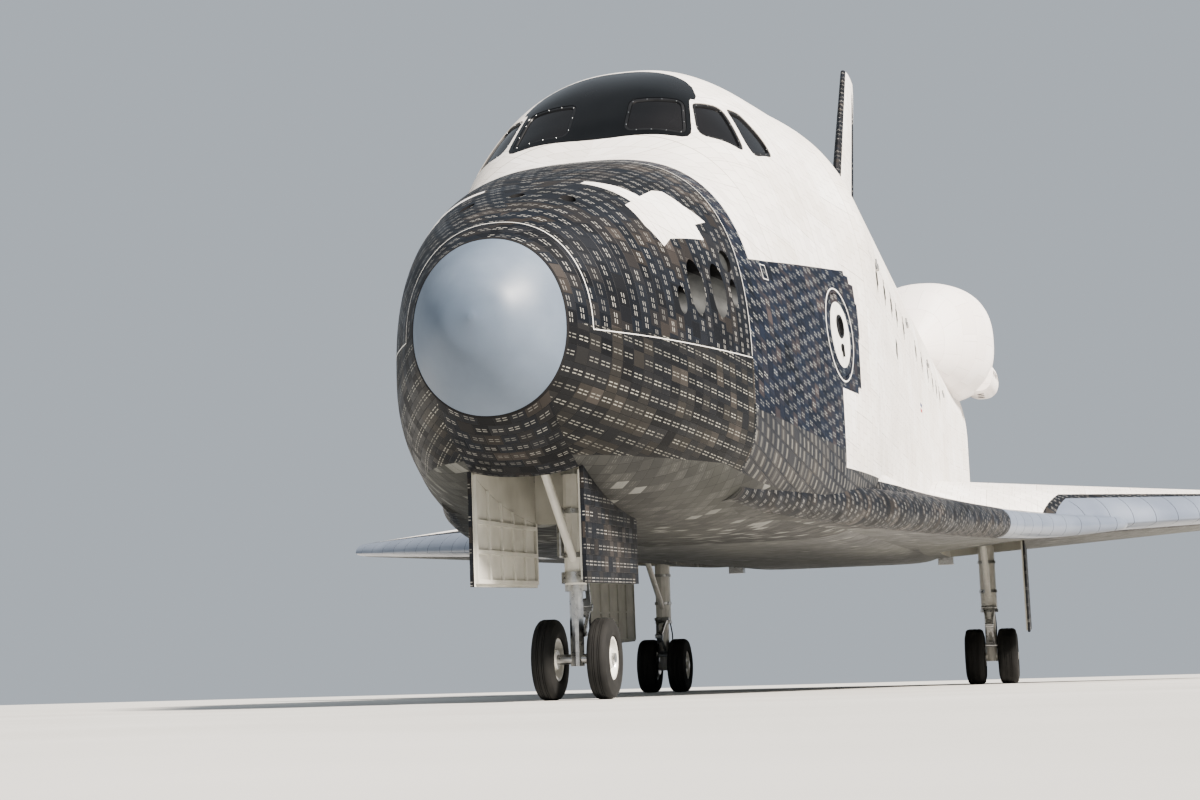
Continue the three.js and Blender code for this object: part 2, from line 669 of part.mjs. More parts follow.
// Thickness along the chord as a share of the greatest
function foil(share) {
  const series = 0.2969 * Math.sqrt(share) - 0.126 * share - 0.3516 * share ** 2;
  return (series + 0.2843 * share ** 3 - 0.1015 * share ** 4) / 0.1;
}

function wingBlank() {
  return loft(
    WING.map(([x, z, thick]) => {
      const point = (share, side) => {
        const aft = LE_AFT(x) + share * (TE_AFT(x) - LE_AFT(x));
        return new THREE.Vector3(x, aft, z + side * thick * foil(share));
      };
      const upper = FOIL_SHARES.map((share) => point(share, 1 - UNDER_SHARE));
      const lower = FOIL_SHARES.slice(1).map((share) => point(share, -UNDER_SHARE));
      return [...upper.toReversed(), ...lower];
    }),
  );
}

function glove() {
  const arcSteps = 6;
  return loft(
    GLOVE.map(([aft, edgeX, edgeZ, radius, topAtBody]) => {
      const arc = Array.from({ length: arcSteps + 1 }, (_, k) => {
        const angle = Math.PI * (k / arcSteps - 0.5);
        const x = edgeX - radius + radius * Math.cos(angle);
        return new THREE.Vector3(x, aft, edgeZ + radius * Math.sin(angle));
      });
      const inner = new THREE.Vector3(900, aft, 500);
      const foot = bodyPoint(aft, THREE.MathUtils.degToRad(-65), 25);
      return [inner, foot, ...arc, bodyPoint(aft, angleAtHeight(aft, topAtBody), 30)];
    }),
  );
}

const edgeOutline = (grow) => [
  [EDGE_ROOT.x - grow, EDGE_ROOT.aft - grow],
  [WING_TIP_X + 100, EDGE_ROOT.aft - grow],
  [WING_TIP_X + 100, LE_AFT(WING_TIP_X + 100) + EDGE_DEPTH + grow],
  [EDGE_BEND_X - grow, LE_AFT(EDGE_BEND_X) + EDGE_DEPTH + grow],
  [EDGE_WAIST.x - grow, EDGE_WAIST.aft + grow],
];

// The part of the wing behind the hinge between two places on it, cut square to the hinge
function behindHinge(x0, x1) {
  const start = hingePoint(x0);
  const length = hingePoint(x1).distanceTo(start);
  return blockAt(start, [hingeLine, 0, length], [Y, 0, 6000], [hingeUp, -2000, 2000]);
}

function hingeNose(x0, x1, gap, sides = 24) {
  return rod(hingePoint(x0), hingePoint(x1), hingeRadius(x0) + gap, hingeRadius(x1) + gap, sides);
}

function elevon(x0, x1) {
  const { slot, pinR, eye } = BRACKET;
  let solid = wingBlank().intersect(behindHinge(x0, x1)).add(hingeNose(x0, x1, 0));
  for (const x of ELEVON_BRACKETS.filter((at) => at > x0 && at < x1)) {
    const at = hingePoint(x);
    solid = solid
      .subtract(blockAt(at, [hingeLine, -slot, slot], [Y, -1000, slot + eye], [hingeUp, -1000, 1000]))
      .add(pin(moved(at, [hingeLine, -slot - 1]), moved(at, [hingeLine, slot + 1]), pinR));
  }
  return solid;
}

function elevonRoom() {
  const start = hingePoint(HINGE_IN.x - ELEVON_GAP);
  const length = hingePoint(HINGE_OUT.x + ELEVON_GAP).distanceTo(start);
  const lips = [
    [0, -LIP_SHARE * HINGE_IN.r],
    [length, -LIP_SHARE * HINGE_OUT.r],
    [length, 6000],
    [0, 6000],
  ];
  const shape = new THREE.Shape(lips.map(([a, b]) => new THREE.Vector2(a, b)));
  const slab = new THREE.ExtrudeGeometry(shape, { depth: 4000, bevelEnabled: false });
  const place = new THREE.Matrix4()
    .makeBasis(hingeLine, Y, hingeUp)
    .setPosition(moved(start, [hingeUp, -2000]));
  return solidOf(slab, place).add(
    hingeNose(HINGE_IN.x - ELEVON_GAP, HINGE_OUT.x + ELEVON_GAP, ELEVON_GAP),
  );
}

// A hinge bracket in the elevon's cove
function elevonBracket(x) {
  const { half, pinR, eye } = BRACKET;
  const at = hingePoint(x);
  const reach = hingeRadius(x) + ELEVON_GAP + 40;
  const ends = (by) => [moved(at, [hingeLine, -by]), moved(at, [hingeLine, by])];
  return blockAt(at, [hingeLine, -half, half], [Y, -reach, 0], [hingeUp, -eye, eye])
    .add(rod(...ends(half), eye))
    .subtract(pinBore(...ends(half + 1), pinR));
}

function mainWell() {
  const { x0, x1, y0, y1, top } = MAIN_WELL;
  return box(x0, x1, y0, y1, -FAR, top);
}

function wing() {
  const { x0, x1, y0, y1, z0, z1 } = AFT_FITTING;
  let solid = wingBlank().add(glove()).subtract(elevonRoom()).subtract(mainWell());
  for (const x of ELEVON_BRACKETS) solid = solid.add(elevonBracket(x));
  return solid
    .subtract(trim)
    .subtract(planPrism(edgeOutline(SEAT_GAP), -FAR, FAR))
    .subtract(box(x0 - 1, x1 + SKIN_GAP, y0 - SKIN_GAP, y1 + SKIN_GAP, z0 - 1, z1 + SKIN_GAP));
}

function leadingEdge() {
  return wingBlank().add(glove()).intersect(planPrism(edgeOutline(0), -FAR, FAR));
}

addPair(airframe, "wing", wing(), "blackTile");
addPair(airframe, "leading_edge", leadingEdge(), "greyCarbon");
addPair(airframe, "elevon_inboard", elevon(HINGE_IN.x, ELEVON_SPLIT - ELEVON_GAP / 2), "blackTile");
addPair(airframe, "elevon_outboard", elevon(ELEVON_SPLIT + ELEVON_GAP / 2, HINGE_OUT.x), "blackTile");

// Fin, rudder post and the two rudder panels
const POST_SIDES = 24;
const POST_LESS = 3; // post's radius short of the fin's half thickness at the hinge
const PANEL_START = 0.84; // the panels' front edges behind the hinge line, in post radii
const RUDDER_PIN = { r: 45, reach: 70 };
const BELL_ROOM = { from: 1500, to: 4300, r0: 880, r1: 1420 }; // kept clear under the fin
const rudderRun = new THREE.Vector3().subVectors(RUDDER_HIGH, RUDDER_LOW);
const rudderLine = rudderRun.clone().normalize();
const rudderAft = new THREE.Vector3().crossVectors(rudderLine, X);
const rudderLength = rudderRun.length();

function finBlank() {
  const sunk = 300;
  const level = (z) => {
    const share = (z - FIN_ROOT.z) / (FIN_TIP.z - FIN_ROOT.z);
    const between = (key) => FIN_ROOT[key] + share * (FIN_TIP[key] - FIN_ROOT[key]);
    const [front, back, half] = ["front", "back", "half"].map(between);
    const point = (chord, side) => new THREE.Vector3(side * half, front + chord * (back - front), z);
    const port = FIN_SHAPE.map(([chord, thick]) => point(chord, thick));
    const starboard = FIN_SHAPE.map(([chord, thick]) => point(chord, -thick));
    return [...port, ...starboard.toReversed()];
  };
  return loft([level(FIN_ROOT.z - sunk), level(FIN_TIP.z)]);
}

// A prism over the rudder's side view, drawn as [along the hinge, aft of it]
function rudderSlab(points, x0, x1) {
  const shape = new THREE.Shape(points.map(([a, b]) => new THREE.Vector2(a, b)));
  const slab = new THREE.ExtrudeGeometry(shape, { depth: x1 - x0, bevelEnabled: false });
  const place = new THREE.Matrix4()
    .makeBasis(rudderLine, rudderAft, X.clone().negate())
    .setPosition(moved(RUDDER_LOW, [X, x1]));
  return solidOf(slab, place);
}

function rudderRod(from, to, r0, r1, sides, phase = 0) {
  const ends = [from, to].map((along) => moved(RUDDER_LOW, [rudderLine, along]));
  return rod(...ends, r0, r1, sides, phase);
}

function rudderPost() {
  const { r, reach } = RUDDER_PIN;
  return rudderRod(0, rudderLength, RUDDER_R_LOW - POST_LESS, RUDDER_R_HIGH - POST_LESS, POST_SIDES)
    .add(rudderRod(-reach, 1, r, r, PIN_SIDES))
    .add(rudderRod(rudderLength - 1, rudderLength + reach, r, r, PIN_SIDES));
}

function rudderPanel() {
  const [low, high] = [RUDDER_R_LOW, RUDDER_R_HIGH].map((r) => boreRadius(r - POST_LESS, POST_SIDES));
  const outline = [
    [0, PANEL_START * RUDDER_R_LOW],
    [rudderLength, PANEL_START * RUDDER_R_HIGH],
    [rudderLength, 3000],
    [0, 3000],
  ];
  return finBlank()
    .intersect(rudderSlab(outline, 4, 1000))
    .subtract(rudderRod(-1, rudderLength + 1, low, high, POST_SIDES, 0.5));
}

function fin() {
  const { r, reach } = RUDDER_PIN;
  const bore = boreRadius(r, PIN_SIDES);
  const closeout = (radius) => -radius - ELEVON_GAP;
  const outline = [
    [-RUDDER_END_GAP, closeout(RUDDER_R_LOW)],
    [rudderLength + RUDDER_END_GAP, closeout(RUDDER_R_HIGH)],
    [rudderLength + RUDDER_END_GAP, 6000],
    [-RUDDER_END_GAP, 6000],
  ];
  const { at, line } = engineFrame(ENGINES[0]);
  const [bellStart, bellEnd] = [moved(at, [line, BELL_ROOM.from]), moved(at, [line, BELL_ROOM.to])];
  return finBlank()
    .subtract(trim)
    .subtract(box(-FAR, FAR, BASE_AFT, 2 * FAR, -FAR, FIN_ROOT.z))
    .subtract(rod(bellStart, bellEnd, BELL_ROOM.r0, BELL_ROOM.r1, ENGINE_SIDES))
    .subtract(rudderSlab(outline, -1000, 1000))
    .subtract(rudderRod(-reach - SEAT_GAP, 0, bore, bore, PIN_SIDES, 0.5))
    .subtract(rudderRod(rudderLength, rudderLength + reach + SEAT_GAP, bore, bore, PIN_SIDES, 0.5));
}

addPiece(airframe, "vertical_fin", fin(), "whiteTile");
addPiece(airframe, "rudder_post", rudderPost(), "steel");
addPair(airframe, "rudder_panel", rudderPanel(), "whiteTile");

// Pods on the aft shoulders, each with a thruster housing and a nozzle
const POD = [
  // aft, x and z of the middle, half width, half height
  [27420, 1850, 5050, 260, 240],
  [27900, 1880, 5200, 640, 640],
  [28800, 1950, 5450, 1090, 1130],
  [30000, 2080, 5580, 1400, 1400],
  [31400, 2200, 5620, 1530, 1470],
  [32500, 2200, 5600, 1480, 1400],
  [33000, 2180, 5550, 1260, 1180],
  [33250, 2160, 5500, 960, 860],
];
const POD_HOUSING = [
  [31500, 3240, 4800, 400, 420],
  [33300, 3320, 4790, 430, 430],
  [33731, 3310, 4800, 360, 370],
];
const POD_NOZZLE = { x: 2235, aft: 32563, z: 5560, pitch: 15.8, toe: 6.5 };
const SMALL_BELL = [
  [620, 250],
  [900, 360],
  [1300, 470],
  [1850, 555],
];
const TOP_ENGINE_CLEAR = 960;

function ovals(rows, sides) {
  return loft(
    rows.map(([aft, x, z, halfWidth, halfHeight]) =>
      Array.from({ length: sides }, (_, k) => {
        const angle = (2 * Math.PI * k) / sides;
        const across = bent(Math.cos(angle), 2.4) * halfWidth;
        return new THREE.Vector3(x + across, aft, z + bent(Math.sin(angle), 2.4) * halfHeight);
      }),
    ),
  );
}

const nozzleFrame = engineFrame(POD_NOZZLE);

function pod() {
  const { at, line } = nozzleFrame;
  const socket = SMALL_BELL[0][1] + SEAT_GAP;
  return ovals(POD, 20)
    .add(ovals(POD_HOUSING, 12))
    .subtract(trim)
    .subtract(box(-FAR, TOP_ENGINE_CLEAR, BASE_AFT, 2 * FAR, -FAR, FAR))
    .subtract(box(-FAR, FIN_ROOT.half + 60, -FAR, 2 * FAR, -FAR, FAR))
    .subtract(rod(at, moved(at, [line, 1000]), socket, socket, ENGINE_SIDES))
    .subtract(rod(moved(at, [line, 540]), moved(at, [line, 2000]), socket + 50, socket + 400, ENGINE_SIDES));
}

function podNozzle() {
  const { at, line } = nozzleFrame;
  const wall = 14;
  const start = SMALL_BELL[0][0];
  const inner = SMALL_BELL.slice(1).map(([along, radius]) => [along, radius - wall]);
  const head = [[10, 0], [10, SMALL_BELL[0][1]]];
  const throat = [[start + 40, 90], [start + 40, 0]];
  const profile = [...head, ...SMALL_BELL, ...inner.toReversed(), ...throat];
  return turned(profile, at, line, ENGINE_SIDES);
}

addPair(airframe, "engine_pod", pod(), "whiteTile");
addPair(airframe, "pod_nozzle", podNozzle(), "nozzle");

// Landing gear. Each leg hangs from a cross tube in its well, and a brace runs forward to a second one.
const WHEEL_SIDES = 24;
const DOOR_THICK = 40;
const NOSE_DOOR_DROP = 560;
const MAIN_DOOR_DROP = 1500;
const point3 = (x, y, z) => new THREE.Vector3(x, y, z);

function wellDoor(x, y0, y1, drop, cutter) {
  return box(x, x + DOOR_THICK, y0, y1, -drop, 900).subtract(cutter);
}

function crossTube(x0, x1, y, z, r) {
  return rod(point3(x0 + SEAT_GAP, y, z), point3(x1 - SEAT_GAP, y, z), r);
}

function wheel({ tyreR, tyreW, axleR }, x, y, z) {
  const boreR = boreRadius(axleR, WHEEL_SIDES);
  const half = tyreW / 2;
  const [rimR, rimHalf] = [0.53 * tyreR, 0.36 * tyreW];
  const profile = [
    [-rimHalf, boreR],
    [-rimHalf, rimR],
    [-half, 0.7 * tyreR],
    [-0.86 * half, 0.93 * tyreR],
    [-0.4 * half, tyreR],
    [0.4 * half, tyreR],
    [0.86 * half, 0.93 * tyreR],
    [half, 0.7 * tyreR],
    [rimHalf, rimR],
    [rimHalf, boreR],
    [-rimHalf, boreR],
  ];
  return turned(profile, point3(x, y, z), X, WHEEL_SIDES);
}

const MAIN_LEG = {
  tubeZ: 3290,
  tubeR: 110,
  sleeveR: 165,
  sleeveEnd: 1480,
  pistonR: 112,
  braceY: 3300,
  braceR: 60,
};
function mainLeg() {
  const { x, y, tyreR, tyreW, wheelAt, axleR } = MAIN;
  const { tubeZ, tubeR, sleeveR, sleeveEnd, pistonR, braceY, braceR } = MAIN_LEG;
  const reach = wheelAt + tyreW / 2;
  const braceZ = tubeZ - Math.sin(PITCH) * (y - braceY);
  return crossTube(MAIN_WELL.x0, MAIN_WELL.x1, y, tubeZ, tubeR)
    .add(rod(point3(x, y, sleeveEnd), point3(x, y, tubeZ), sleeveR))
    .add(rod(point3(x, y, tyreR), point3(x, y, sleeveEnd), pistonR))
    .add(rod(point3(x, y, tyreR - 100), point3(x, y, tyreR + 100), pistonR))
    .add(rod(point3(x - reach, y, tyreR), point3(x + reach, y, tyreR), axleR, axleR, 16))
    .add(crossTube(MAIN_WELL.x0, MAIN_WELL.x1, braceY, braceZ, braceR))
    .add(rod(point3(x, y, sleeveEnd + 250), point3(x, braceY, braceZ), braceR));
}

const NOSE_LEG = {
  tubeZ: 2480,
  tubeR: 80,
  sleeveR: 115,
  sleeveEnd: 1150,
  pistonR: 72,
  braceY: -16400,
  braceR: 45,
};
function noseLeg() {
  const { x, y } = NOSE;
  const { tubeZ, tubeR, sleeveR, sleeveEnd, braceY, braceR } = NOSE_LEG;
  const braceZ = tubeZ - Math.sin(PITCH) * (y - braceY);
  return crossTube(-NOSE_WELL.x1, NOSE_WELL.x1, y, tubeZ, tubeR)
    .add(rod(point3(x, y, sleeveEnd), point3(x, y, tubeZ), sleeveR))
    .add(crossTube(-NOSE_WELL.x1, NOSE_WELL.x1, braceY, braceZ, braceR))
    .add(rod(point3(x, y, sleeveEnd + 200), point3(x, braceY, braceZ), braceR));
}

function noseSteering() {
  const { x, y, tyreR, tyreW, wheelAt, axleR } = NOSE;
  const { sleeveR, sleeveEnd, pistonR } = NOSE_LEG;
  const reach = wheelAt + tyreW / 2;
  return rod(point3(x, y, tyreR - 70), point3(x, y, sleeveEnd - SEAT_GAP), pistonR)
    .add(rod(point3(x, y, sleeveEnd - 60), point3(x, y, sleeveEnd - SEAT_GAP), sleeveR))
    .add(rod(point3(x - reach, y, tyreR), point3(x + reach, y, tyreR), axleR, axleR, 16));
}

addPiece(gear, "nose_gear_leg", noseLeg(), "whitePaint");
addPiece(gear, "nose_steering_fork", noseSteering(), "steel");
addPair(gear, "nose_wheel", wheel(NOSE, NOSE.wheelAt, NOSE.y, NOSE.tyreR), "rubber");
addPair(gear, "main_gear_leg", mainLeg(), "whitePaint");
for (const [place, side] of [
  ["outer", 1],
  ["inner", -1],
]) {
  const made = wheel(MAIN, MAIN.x + side * MAIN.wheelAt, MAIN.y, MAIN.tyreR);
  addPair(gear, `main_wheel_${place}`, made, "rubber");
}
const hung = new THREE.Group(); // what hangs just clear of the skin above it
hung.position.z = -SEAT_GAP;
airframe.add(hung);
addPair(
  hung,
  "nose_gear_door",
  wellDoor(NOSE_WELL.x1 + 2, NOSE_WELL.y0, NOSE_WELL.y1, NOSE_DOOR_DROP, trim),
  "blackTile",
);
const wingSkin = wingBlank().add(glove()).subtract(trim);
addPair(
  hung,
  "main_gear_door",
  wellDoor(MAIN_WELL.x1 + 2, MAIN_WELL.y0, MAIN_WELL.y1, MAIN_DOOR_DROP, wingSkin),
  "blackTile",
);

export default pieces;
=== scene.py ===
import math

import bmesh
import bpy
import numpy as np
from mathutils import Matrix, Vector


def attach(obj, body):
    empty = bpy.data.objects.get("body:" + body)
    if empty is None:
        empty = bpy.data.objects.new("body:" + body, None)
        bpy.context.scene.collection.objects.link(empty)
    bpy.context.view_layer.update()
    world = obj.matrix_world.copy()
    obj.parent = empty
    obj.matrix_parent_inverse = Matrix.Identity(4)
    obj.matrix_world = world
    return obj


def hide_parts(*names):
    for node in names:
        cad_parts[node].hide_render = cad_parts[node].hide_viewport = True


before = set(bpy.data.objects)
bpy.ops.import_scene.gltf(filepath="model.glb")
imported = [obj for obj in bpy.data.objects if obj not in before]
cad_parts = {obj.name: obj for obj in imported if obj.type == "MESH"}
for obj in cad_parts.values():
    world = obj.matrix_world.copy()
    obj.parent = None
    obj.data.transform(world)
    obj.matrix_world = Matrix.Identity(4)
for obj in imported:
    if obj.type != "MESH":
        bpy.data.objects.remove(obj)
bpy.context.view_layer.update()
print("frame loaded,", len(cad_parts), "nodes")

# Space shuttle orbiter, parked on its gear. Metres throughout.
# The airframe is drawn as x to port, y aft from the nose tip, z up from the keel, then set on its gear.
stance = {"pitchDegrees": 2.5, "noseAhead": 18.256, "keelAtNose": 1.563}
airframePlace = Matrix.Translation((0, -stance["noseAhead"], stance["keelAtNose"])) @ Matrix.Rotation(
    math.radians(stance["pitchDegrees"]), 4, "X"
)
hungPlace = airframePlace @ Matrix.Translation((0, 0, -0.0003))  # for the gear doors, a hair low
groundPlace = Matrix.Identity(4)
xAxis, yAxis, zAxis = Vector((1, 0, 0)), Vector((0, 1, 0)), Vector((0, 0, 1))
far = 30.0  # past the orbiter on every side, for tools that cut all of it

stations = {
    "capEnd": 0.52,
    "moduleEnd": 3.607,
    "bayFront": 8.788,
    "bayEnd": 27.203,
    "base": 32.385,
    "deck": 1.7,  # height of the cabin floor
    "sill": 3.734,  # height of the payload bay doors' hinges
    "belly": 0.75,  # black below, white above, hidden behind the gloves
}

# Fuselage sections: one superellipse above the waist and another below it
bodyRows = np.array([
    # aft, halfWidth, bottom, waist, top, lowPower, topPower
    [0, 0.03, 1.69, 1.72, 1.75, 2, 2],
    [0.06, 0.27, 1.42, 1.71, 2.0, 2, 2],
    [0.15, 0.41, 1.26, 1.7, 2.15, 2, 2],
    [0.3, 0.565, 1.08, 1.69, 2.32, 2.05, 2.05],
    [0.52, 0.715, 0.905, 1.67, 2.5, 2.1, 2.1],
    [1.0, 0.99, 0.63, 1.58, 2.83, 2.2, 2.3],
    [1.626, 1.285, 0.4, 1.47, 3.16, 2.3, 2.5],
    [2.3, 1.52, 0.24, 1.38, 3.45, 2.4, 2.7],
    [3.0, 1.72, 0.14, 1.29, 3.72, 2.5, 2.85],
    [3.607, 1.865, 0.09, 1.22, 3.92, 2.7, 2.95],
    [4.1, 1.975, 0.06, 1.18, 4.07, 3, 2.9],
    [4.5, 2.055, 0.04, 1.16, 4.27, 3.2, 2.75],
    [5.0, 2.155, 0.02, 1.15, 4.8, 3.5, 2.6],
    [5.5, 2.25, 0.008, 1.15, 5.28, 3.8, 2.5],
    [6.0, 2.34, 0, 1.18, 5.58, 4.4, 2.45],
    [6.5, 2.425, 0, 1.3, 5.77, 5, 2.4],
    [7.2, 2.52, 0, 1.7, 5.875, 6, 2.4],
    [8.0, 2.615, 0, 2.5, 5.915, 7, 2.35],
    [8.788, 2.667, 0, 3.3, 5.93, 8, 2.3],
    [27.203, 2.667, 0, 3.3, 5.93, 8, 2.3],
    [29.5, 2.72, 0.06, 3.3, 5.93, 7, 2.3],
    [32.385, 2.9, 0.26, 3.1, 5.93, 6, 2.4],
])


# One column of a station table, as a smooth curve that never overshoots its rows
def smoothColumn(table, column, at):
    last = len(table) - 1
    i = min(max(int(np.searchsorted(table[:, 0], at, side="right")) - 1, 0), last - 1)
    rise = np.diff(table[:, column]) / np.diff(table[:, 0])

    def slope(k):
        if k in (0, last):
            return rise[min(k, last - 1)]
        a, b = rise[k - 1], rise[k]
        return 0 if a * b <= 0 else 2 * a * b / (a + b)

    width = table[i + 1, 0] - table[i, 0]
    t = min(1, max(0, (at - table[i, 0]) / width))
    return (
        table[i, column] * (1 + 2 * t) * (1 - t) ** 2
        + table[i + 1, column] * t * t * (3 - 2 * t)
        + slope(i) * width * t * (1 - t) ** 2
        - slope(i + 1) * width * t * t * (1 - t)
    )


def smoothRow(table, at):
    return [smoothColumn(table, column, at) for column in range(1, table.shape[1])]


def bent(value, power):
    return math.copysign(abs(value) ** (2 / power), value)


# A point of the fuselage's skin. Angle 0 is the port waist and a quarter turn the top.
def bodyPoint(aft, angle, inset=0.0):
    halfWidth, bottom, waist, top, lowPower, topPower = smoothRow(bodyRows, aft)
    over = math.sin(angle) >= 0
    power = topPower if over else lowPower
    height = (top - waist if over else waist - bottom) - inset
    x = bent(math.cos(angle), power) * (halfWidth - inset)
    return Vector((x, aft, waist + bent(math.sin(angle), power) * height))


def angleAtHeight(aft, z):
    halfWidth, bottom, waist, top, lowPower, topPower = smoothRow(bodyRows, aft)
    if z >= waist:
        return math.asin(min(1, (z - waist) / (top - waist)) ** (topPower / 2))
    return -math.asin(min(1, (waist - z) / (waist - bottom)) ** (lowPower / 2))


# Angle on the upper side at a distance from the centre plane, negative x to starboard
def angleAtSide(aft, x):
    halfWidth, topPower = smoothColumn(bodyRows, 1, aft), smoothColumn(bodyRows, 6, aft)
    angle = math.acos((abs(x) / halfWidth) ** (topPower / 2))
    return angle if x >= 0 else math.pi - angle


# A ring of the skin from the top centre round by port, with each point's distance from the keel line
def bodyRing(aft, sides, inset=0.0):
    halfWidth, bottom, waist, top, lowPower, topPower = smoothRow(bodyRows, aft)
    angle = np.linspace(math.pi / 2, -math.pi / 2, 1201)  # fine, and then set at even distances
    power = np.where(angle >= 0, topPower, lowPower)
    height = np.where(angle >= 0, top - waist, waist - bottom) - inset
    x = np.abs(np.cos(angle)) ** (2 / power) * (halfWidth - inset)
    z = waist + np.sign(angle) * np.abs(np.sin(angle)) ** (2 / power) * height
    girth = np.concatenate([[0], np.cumsum(np.hypot(np.diff(x), np.diff(z)))])
    even = np.linspace(0, girth[-1], sides // 2 + 1)
    x, z, girth = np.interp(even, girth, x), np.interp(even, girth, z), girth[-1] - even
    x = np.concatenate([x, -x[-2::-1]])
    z = np.concatenate([z, z[-2::-1]])
    return np.stack([x, np.full_like(x, aft), z], -1), np.concatenate([girth, -girth[-2::-1]])


# Distance along the skin at each station, so that the tiles keep their size on the slope of the nose
alongStations = np.concatenate([np.linspace(0, 0.6, 41) ** 2 / 0.6, np.linspace(0.65, 33, 260)])
alongRings = np.array([bodyRing(aft, 48)[0] for aft in alongStations])
alongSteps = np.linalg.norm(np.diff(alongRings, axis=0), axis=2).mean(axis=1)
alongSkin = np.concatenate([[0], np.cumsum(alongSteps)])


# Distance round the skin from the keel line up to the waist
def girthAtWaist(aft):
    ring, girth = bodyRing(aft, 48)
    return np.interp(smoothColumn(bodyRows, 3, aft), ring[24::-1, 2], girth[24::-1])


waistGirths = [girthAtWaist(aft) for aft in alongStations]


# On the nose the rows of tiles follow the waist, while the rest of the skin counts them from the keel
def rowsFromWaist(obj):
    mesh = obj.data
    layer = mesh.uv_layers["skin"].data
    for polygon in mesh.polygons:
        side = math.copysign(1, polygon.center.x)
        for loop in polygon.loop_indices:
            aft = mesh.vertices[mesh.loops[loop].vertex_index].co.y
            layer[loop].uv.x -= side * np.interp(aft, alongStations, waistGirths)
    return obj


# Marks the faces that pass a test with another zone, and with no test all of them
def rezone(obj, zone, test=None):
    zones = obj.data.attributes["zone"].data
    for polygon in obj.data.polygons:
        if test is None or test(polygon):
            zones[polygon.index].value = zone
    return obj


def flipToOutside(mesh):
    bm = bmesh.new()
    bm.from_mesh(mesh)
    inside = bm.calc_volume(signed=True) < 0
    bm.free()
    if inside:
        mesh.flip_normals()


def newObject(name, verts, faces, corners=None, zones=None):
    mesh = bpy.data.meshes.new(name)
    mesh.from_pydata([tuple(v) for v in verts], [], faces)
    layer = mesh.uv_layers.new(name="skin")
    if corners is not None:
        layer.data.foreach_set("uv", np.asarray(corners, np.float32).ravel())
    zone = mesh.attributes.new("zone", "INT", "FACE")
    if zones is not None:
        zone.data.foreach_set("value", np.asarray(zones, np.int32))
    flipToOutside(mesh)
    obj = bpy.data.objects.new(name, mesh)
    bpy.context.scene.collection.objects.link(obj)
    return obj


# A closed solid through rings of points whose last point repeats the first. Each side's zone picks its
# material, and the ends are fans or single faces.
def loft(name, rings, uvs, zones=None, loop=False, fan=True):
    rings, uvs = np.asarray(rings, float), np.asarray(uvs, float)
    rows, sides = rings.shape[0] - 1, rings.shape[1] - 1
    count = rows if loop else rows + 1
    verts = rings[:count, :sides].reshape(-1, 3).tolist()
    i, k = np.meshgrid(np.arange(rows), np.arange(sides), indexing="ij")
    after, beside = (i + 1) % count, (k + 1) % sides
    quads = [i * sides + k, i * sides + beside, after * sides + beside, after * sides + k]
    faces = np.stack(quads, -1).reshape(-1, 4).tolist()
    quadCorners = [uvs[i, k], uvs[i, k + 1], uvs[i + 1, k + 1], uvs[i + 1, k]]
    corners = np.stack(quadCorners, 2).reshape(-1, 2).tolist()
    tags = np.tile(np.zeros(sides, int) if zones is None else zones, rows).tolist()
    for ring in () if loop else (0, rows):
        rim = [ring * sides + side for side in range(sides)]
        if fan:
            hub = len(verts)
            verts.append(rings[ring, :sides].mean(axis=0).tolist())
            pairs = zip(rim, rim[1:] + rim[:1])
            caps = [(b, a, hub) if ring == 0 else (a, b, hub) for a, b in pairs]
        else:
            caps = [rim[::-1] if ring == 0 else rim]
        for cap in caps:
            faces.append(cap)
            corners += [(verts[v][0] + verts[v][1], verts[v][2]) for v in cap]
            tags.append(0)
    return newObject(name, verts, faces, corners, tags)


# The fuselage's skin between two stations, as a solid
def skin(name, start, end, inset=0.0, sides=144, step=0.16):
    if start == 0:
        places = end * np.linspace(0, 1, 26) ** 2
    else:
        places = np.linspace(start, end, max(2, round((end - start) / step)) + 1)
    rings, uvs = [], []
    for aft in places:
        ring, girth = bodyRing(aft, sides, inset)
        along = np.interp(aft, alongStations, alongSkin)
        rings.append(ring)
        uvs.append(np.stack([girth, np.full_like(girth, along)], -1))
    return loft(name, rings, uvs)


# Outline drawn in the (u, v) plane and carried along w from low to high
def prism(points, u, v, w, low, high, at=Vector(), zone=0):
    count = len(points)
    verts = [at + u * a + v * b + w * c for c in (low, high) for a, b in points]
    faces = [tuple(range(count)), tuple(range(2 * count - 1, count - 1, -1))]
    faces += [(k, k + count, (k + 1) % count + count, (k + 1) % count) for k in range(count)]
    return newObject("tool", verts, faces, zones=[zone] * len(faces))


def planPrism(points, low, high, zone=0):
    return prism(points, xAxis, yAxis, zAxis, low, high, zone=zone)


def sidePrism(points, low, high, zone=0):
    return prism(points, yAxis, zAxis, xAxis, low, high, zone=zone)


def box(x0, x1, y0, y1, z0, z1, zone=0):
    return planPrism([(x0, y0), (x1, y0), (x1, y1), (x0, y1)], z0, z1, zone)


def below(z):
    return box(-far, far, -far, 2 * far, -far, z)


def around(line):
    side = Vector(line).orthogonal().normalized()
    return side, Vector(line).cross(side).normalized()


# A turned shape. Its profile is (along, radius) beside its line, and one that ends where it starts makes
# a ring.
def turned(profile, at, line, sides=64, zone=0):
    line = Vector(line).normalized()
    side, other = around(line)
    turns = [2 * math.pi * k / sides for k in range(sides + 1)]
    spokes = [side * math.cos(t) + other * math.sin(t) for t in turns]
    loop = tuple(profile[0]) == tuple(profile[-1])
    rings, uvs, run = [], [], 0.0
    for k, (along, radius) in enumerate(profile):
        radius = max(radius, 0.0004)  # never quite a point, so that the solid stays closed
        run += math.dist(profile[k], profile[k - 1]) if k else 0
        rings.append([at + line * along + spoke * radius for spoke in spokes])
        uvs.append([(t * max(radius, 0.05), run) for t in turns])
    return rezone(loft("turned", rings, uvs, loop=loop), zone)


